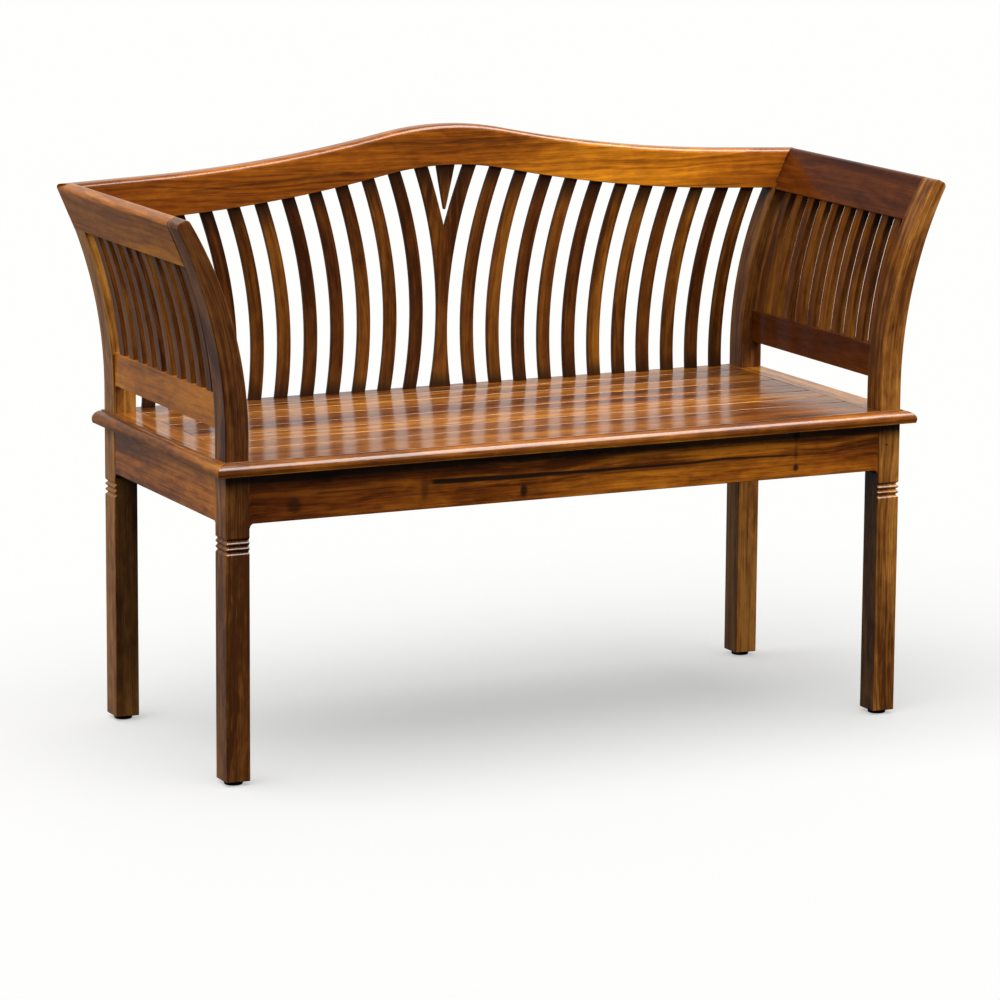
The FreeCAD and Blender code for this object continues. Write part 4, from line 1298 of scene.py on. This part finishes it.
def add_lamp(name, place, target, size, power):
    """A rectangular softbox."""
    lamp = bpy.data.lights.new(name, "AREA")
    lamp.shape, lamp.size, lamp.size_y, lamp.energy = "RECTANGLE", size[0], size[1], power
    light = object_from(name, lamp)
    light.matrix_world = aimed(place, target)
    light.visible_camera = False
    return light


def add_sun(studio):
    """Very soft even light from above, a little from the front and the left, over the whole floor."""
    lamp = bpy.data.lights.new("even_light", "SUN")
    lamp.energy, lamp.angle = studio.even_light, SUN_SPREAD
    light = object_from("even_light", lamp)
    light.matrix_world = aimed(SUN_FROM, (0.0, 0.0, 0.0))
    light.visible_camera = False
    light.visible_glossy = False


def add_camera(scene, studio):
    """The camera, from its heading, tilt and roll."""
    turn, tilt, roll = studio.azimuth, studio.elevation, studio.roll
    ahead = np.array([-math.sin(turn) * math.cos(tilt), math.cos(turn) * math.cos(tilt), -math.sin(tilt)])
    side = np.array([math.cos(turn), math.sin(turn), 0.0])
    up = np.cross(side, ahead)
    rolled_side = math.cos(roll) * side + math.sin(roll) * up
    rolled_up = math.cos(roll) * up - math.sin(roll) * side
    data = bpy.data.cameras.new("bench_camera")
    data.sensor_width, data.lens = SENSOR_WIDTH, studio.lens
    data.shift_x, data.shift_y = studio.shift
    data.clip_end = 100.0
    camera = object_from("bench_camera", data)
    camera.matrix_world = turned(rolled_side, rolled_up, -ahead, studio.eye)
    scene.camera = camera


# Operators

class BenchStep:
    """Shared by the operators: each makes its pieces from the scene's sizes."""

    bl_options = {"REGISTER", "UNDO"}

    @property
    def lines(self):
        return BenchLines(bpy.context.scene.bench_sizes)


class BENCH_OT_legs(BenchStep, bpy.types.Operator):
    """Add the four grooved legs"""

    bl_idname = "bench.legs"
    bl_label = "Legs"

    def execute(self, context):
        for end in ("front", "back"):
            leg = grooved_leg(self.lines, end == "front")
            pair_from(f"grooved_leg_{end}_{{}}", leg, f"leg_{end}_{{}}", "frame_wood")
        return {"FINISHED"}


class BENCH_OT_glides(BenchStep, bpy.types.Operator):
    """Add the floor glides under the legs"""

    bl_idname = "bench.glides"
    bl_label = "Floor glides"

    def execute(self, context):
        piece_from("turned_glides", turned_glides(self.lines), ["floor_glides"], "glide", 0.0, 0.0, 0.0)
        return {"FINISHED"}


class BENCH_OT_aprons(BenchStep, bpy.types.Operator):
    """Add the rails under the seat"""

    bl_idname = "bench.aprons"
    bl_label = "Aprons"

    def execute(self, context):
        for end in ("front", "back"):
            node = f"apron_{end}"
            board = long_apron(self.lines, node)
            # The tone along the apron holds painted light, brighter to the right
            piece_from("coved_" + node, board, [node], "apron_wood",
                       *cut_from(node, tone=toned_along(board, APRON_TONE_AND_LIGHT)))
        pair_from("coved_apron_{}", side_apron(self.lines), "apron_{}", "apron_wood")
        return {"FINISHED"}


class BENCH_OT_seat_frame(BenchStep, bpy.types.Operator):
    """Add the moulded frame round the seat"""

    bl_idname = "bench.seat_frame"
    bl_label = "Seat frame"

    def execute(self, context):
        lines = self.lines
        for name, board, node in (("moulded_seat_front", front_member(lines), "seat_frame_front"),
                                  ("seat_back_board", back_member(lines), "seat_frame_back")):
            piece_from(name, board, [node], "seat_wood", *cut_from(node))
        pair_from("moulded_seat_{}", side_member(lines), "seat_frame_{}", "seat_wood")
        return {"FINISHED"}


class BENCH_OT_seat_boards(BenchStep, bpy.types.Operator):
    """Add the boards of the seat"""

    bl_idname = "bench.seat_boards"
    bl_label = "Seat boards"

    def execute(self, context):
        for index in range(1, SEAT_BOARDS + 1):
            node = f"seat_slat_{index}"
            board = seat_board(self.lines, node)
            piece_from(f"seat_board_{index}", board, [node], "seat_wood", *cut_from(node))
        return {"FINISHED"}


class BENCH_OT_posts(BenchStep, bpy.types.Operator):
    """Add the four flared posts"""

    bl_idname = "bench.posts"
    bl_label = "Posts"

    def execute(self, context):
        for end in ("front", "back"):
            post = flared_post(self.lines, end == "front")
            pair_from(f"flared_post_{end}_{{}}", post, f"post_{end}_{{}}", "frame_wood")
        return {"FINISHED"}


class BENCH_OT_arms(BenchStep, bpy.types.Operator):
    """Add the rails and slats of both arms"""

    bl_idname = "bench.arms"
    bl_label = "Arms"

    def execute(self, context):
        lines = self.lines
        parts = (("arm_top_rail", arm_top_rail(lines), "rail_wood"),
                 ("arm_lower_rail", arm_lower_rail(lines), "rail_wood"),
                 ("arm_slats", arm_slats(lines), "slat_wood"))
        for stem, board, slot in parts:
            pair_from(f"eased_{stem}_{{}}", board, stem + "_{}", slot)
        return {"FINISHED"}


class BENCH_OT_crest_rail(BenchStep, bpy.types.Operator):
    """Add the crest rail"""

    bl_idname = "bench.crest_rail"
    bl_label = "Crest rail"

    def execute(self, context):
        board = crest_rail(self.lines)
        # The tone along the crest rail holds painted light, brighter to the right
        piece_from("shaped_crest_rail", board, ["crest_rail"], "rail_wood",
                   *cut_from("crest_rail", tone=toned_along(board, CREST_TONE_AND_LIGHT)))
        return {"FINISHED"}


class BENCH_OT_back_slats(BenchStep, bpy.types.Operator):
    """Add the bowed slats of the back"""

    bl_idname = "bench.back_slats"
    bl_label = "Back slats"

    def execute(self, context):
        lines = self.lines
        for index in range(BACK_SLATS):
            slat = back_slat(lines, index)
            node = f"back_slat_{{}}_{index + 1}"
            # Painted shade darkens each slat towards its ends
            pair_from("bowed_" + node, slat, node, "slat_wood", heart=dark_ends(slat, lines))
        return {"FINISHED"}


class BENCH_OT_splat(BenchStep, bpy.types.Operator):
    """Add the Y splat and the wedge in its fork"""

    bl_idname = "bench.splat"
    bl_label = "Y splat and wedge"

    def execute(self, context):
        lines = self.lines
        half, ease = lines.sizes.slat_thick / 2.0, lines.sizes.ease
        for name, outline, node in (("forked_splat", splat_outline(lines), "y_splat"),
                                    ("fork_wedge", wedge_outline(lines), "crest_wedge")):
            board = plate(outline, half, ease, leaning(lines))
            # Painted shade darkens the splat and the wedge towards their ends
            piece_from(name, board, [node], "slat_wood",
                       *cut_from(node, heart=dark_ends(board, lines)))
        return {"FINISHED"}


class BENCH_OT_studio(bpy.types.Operator):
    """Add the floor, the lamps and the camera"""

    bl_idname = "bench.studio"
    bl_label = "Studio"
    bl_options = {"REGISTER", "UNDO"}

    def execute(self, context):
        studio = context.scene.bench_studio
        unlit = bpy.data.collections.new("not_lit_by_softboxes")
        unlit.objects.link(add_floor(studio))
        unlit.collection_objects[0].light_linking.link_state = "EXCLUDE"
        add_surround(context.scene, studio)
        for lamp in LAMPS:
            light = add_lamp(*lamp)
            light.visible_glossy = lamp is LAMPS[0]
            light.light_linking.receiver_collection = unlit
        add_sun(studio)
        add_camera(context.scene, studio)
        context.scene.view_settings.view_transform = "Standard"
        context.scene.view_settings.gamma = PICTURE_GAMMA
        return {"FINISHED"}


# Panel and registration

class BENCH_PT_sidebar(bpy.types.Panel):
    """Lists the steps of the bench in the sidebar"""

    bl_idname = "BENCH_PT_sidebar"
    bl_label = "Deacons bench"
    bl_space_type = "VIEW_3D"
    bl_region_type = "UI"
    bl_category = "Bench"

    def draw(self, context):
        column = self.layout.column()
        for step in STEPS:
            column.operator(step.bl_idname)


STEPS = (
    BENCH_OT_legs,
    BENCH_OT_glides,
    BENCH_OT_aprons,
    BENCH_OT_seat_frame,
    BENCH_OT_seat_boards,
    BENCH_OT_posts,
    BENCH_OT_arms,
    BENCH_OT_crest_rail,
    BENCH_OT_back_slats,
    BENCH_OT_splat,
    BENCH_OT_studio,
)
SETTINGS = (BenchSizes, BenchFinish, BenchStudio)


def register():
    """Registers the settings, the steps and the panel."""
    for kind in (*SETTINGS, *STEPS, BENCH_PT_sidebar):
        bpy.utils.register_class(kind)
    bpy.types.Scene.bench_sizes = PointerProperty(type=BenchSizes)
    bpy.types.Scene.bench_finish = PointerProperty(type=BenchFinish)
    bpy.types.Scene.bench_studio = PointerProperty(type=BenchStudio)


def unregister():
    """Takes them out again, in the reverse order."""
    del bpy.types.Scene.bench_studio
    del bpy.types.Scene.bench_finish
    del bpy.types.Scene.bench_sizes
    for kind in reversed((*SETTINGS, *STEPS, BENCH_PT_sidebar)):
        bpy.utils.unregister_class(kind)


def main():
    """Makes the bench and its studio step by step."""
    register()
    for step in STEPS:
        group, name = step.bl_idname.split(".")
        getattr(getattr(bpy.ops, group), name)()


if __name__ == "__main__":
    main()
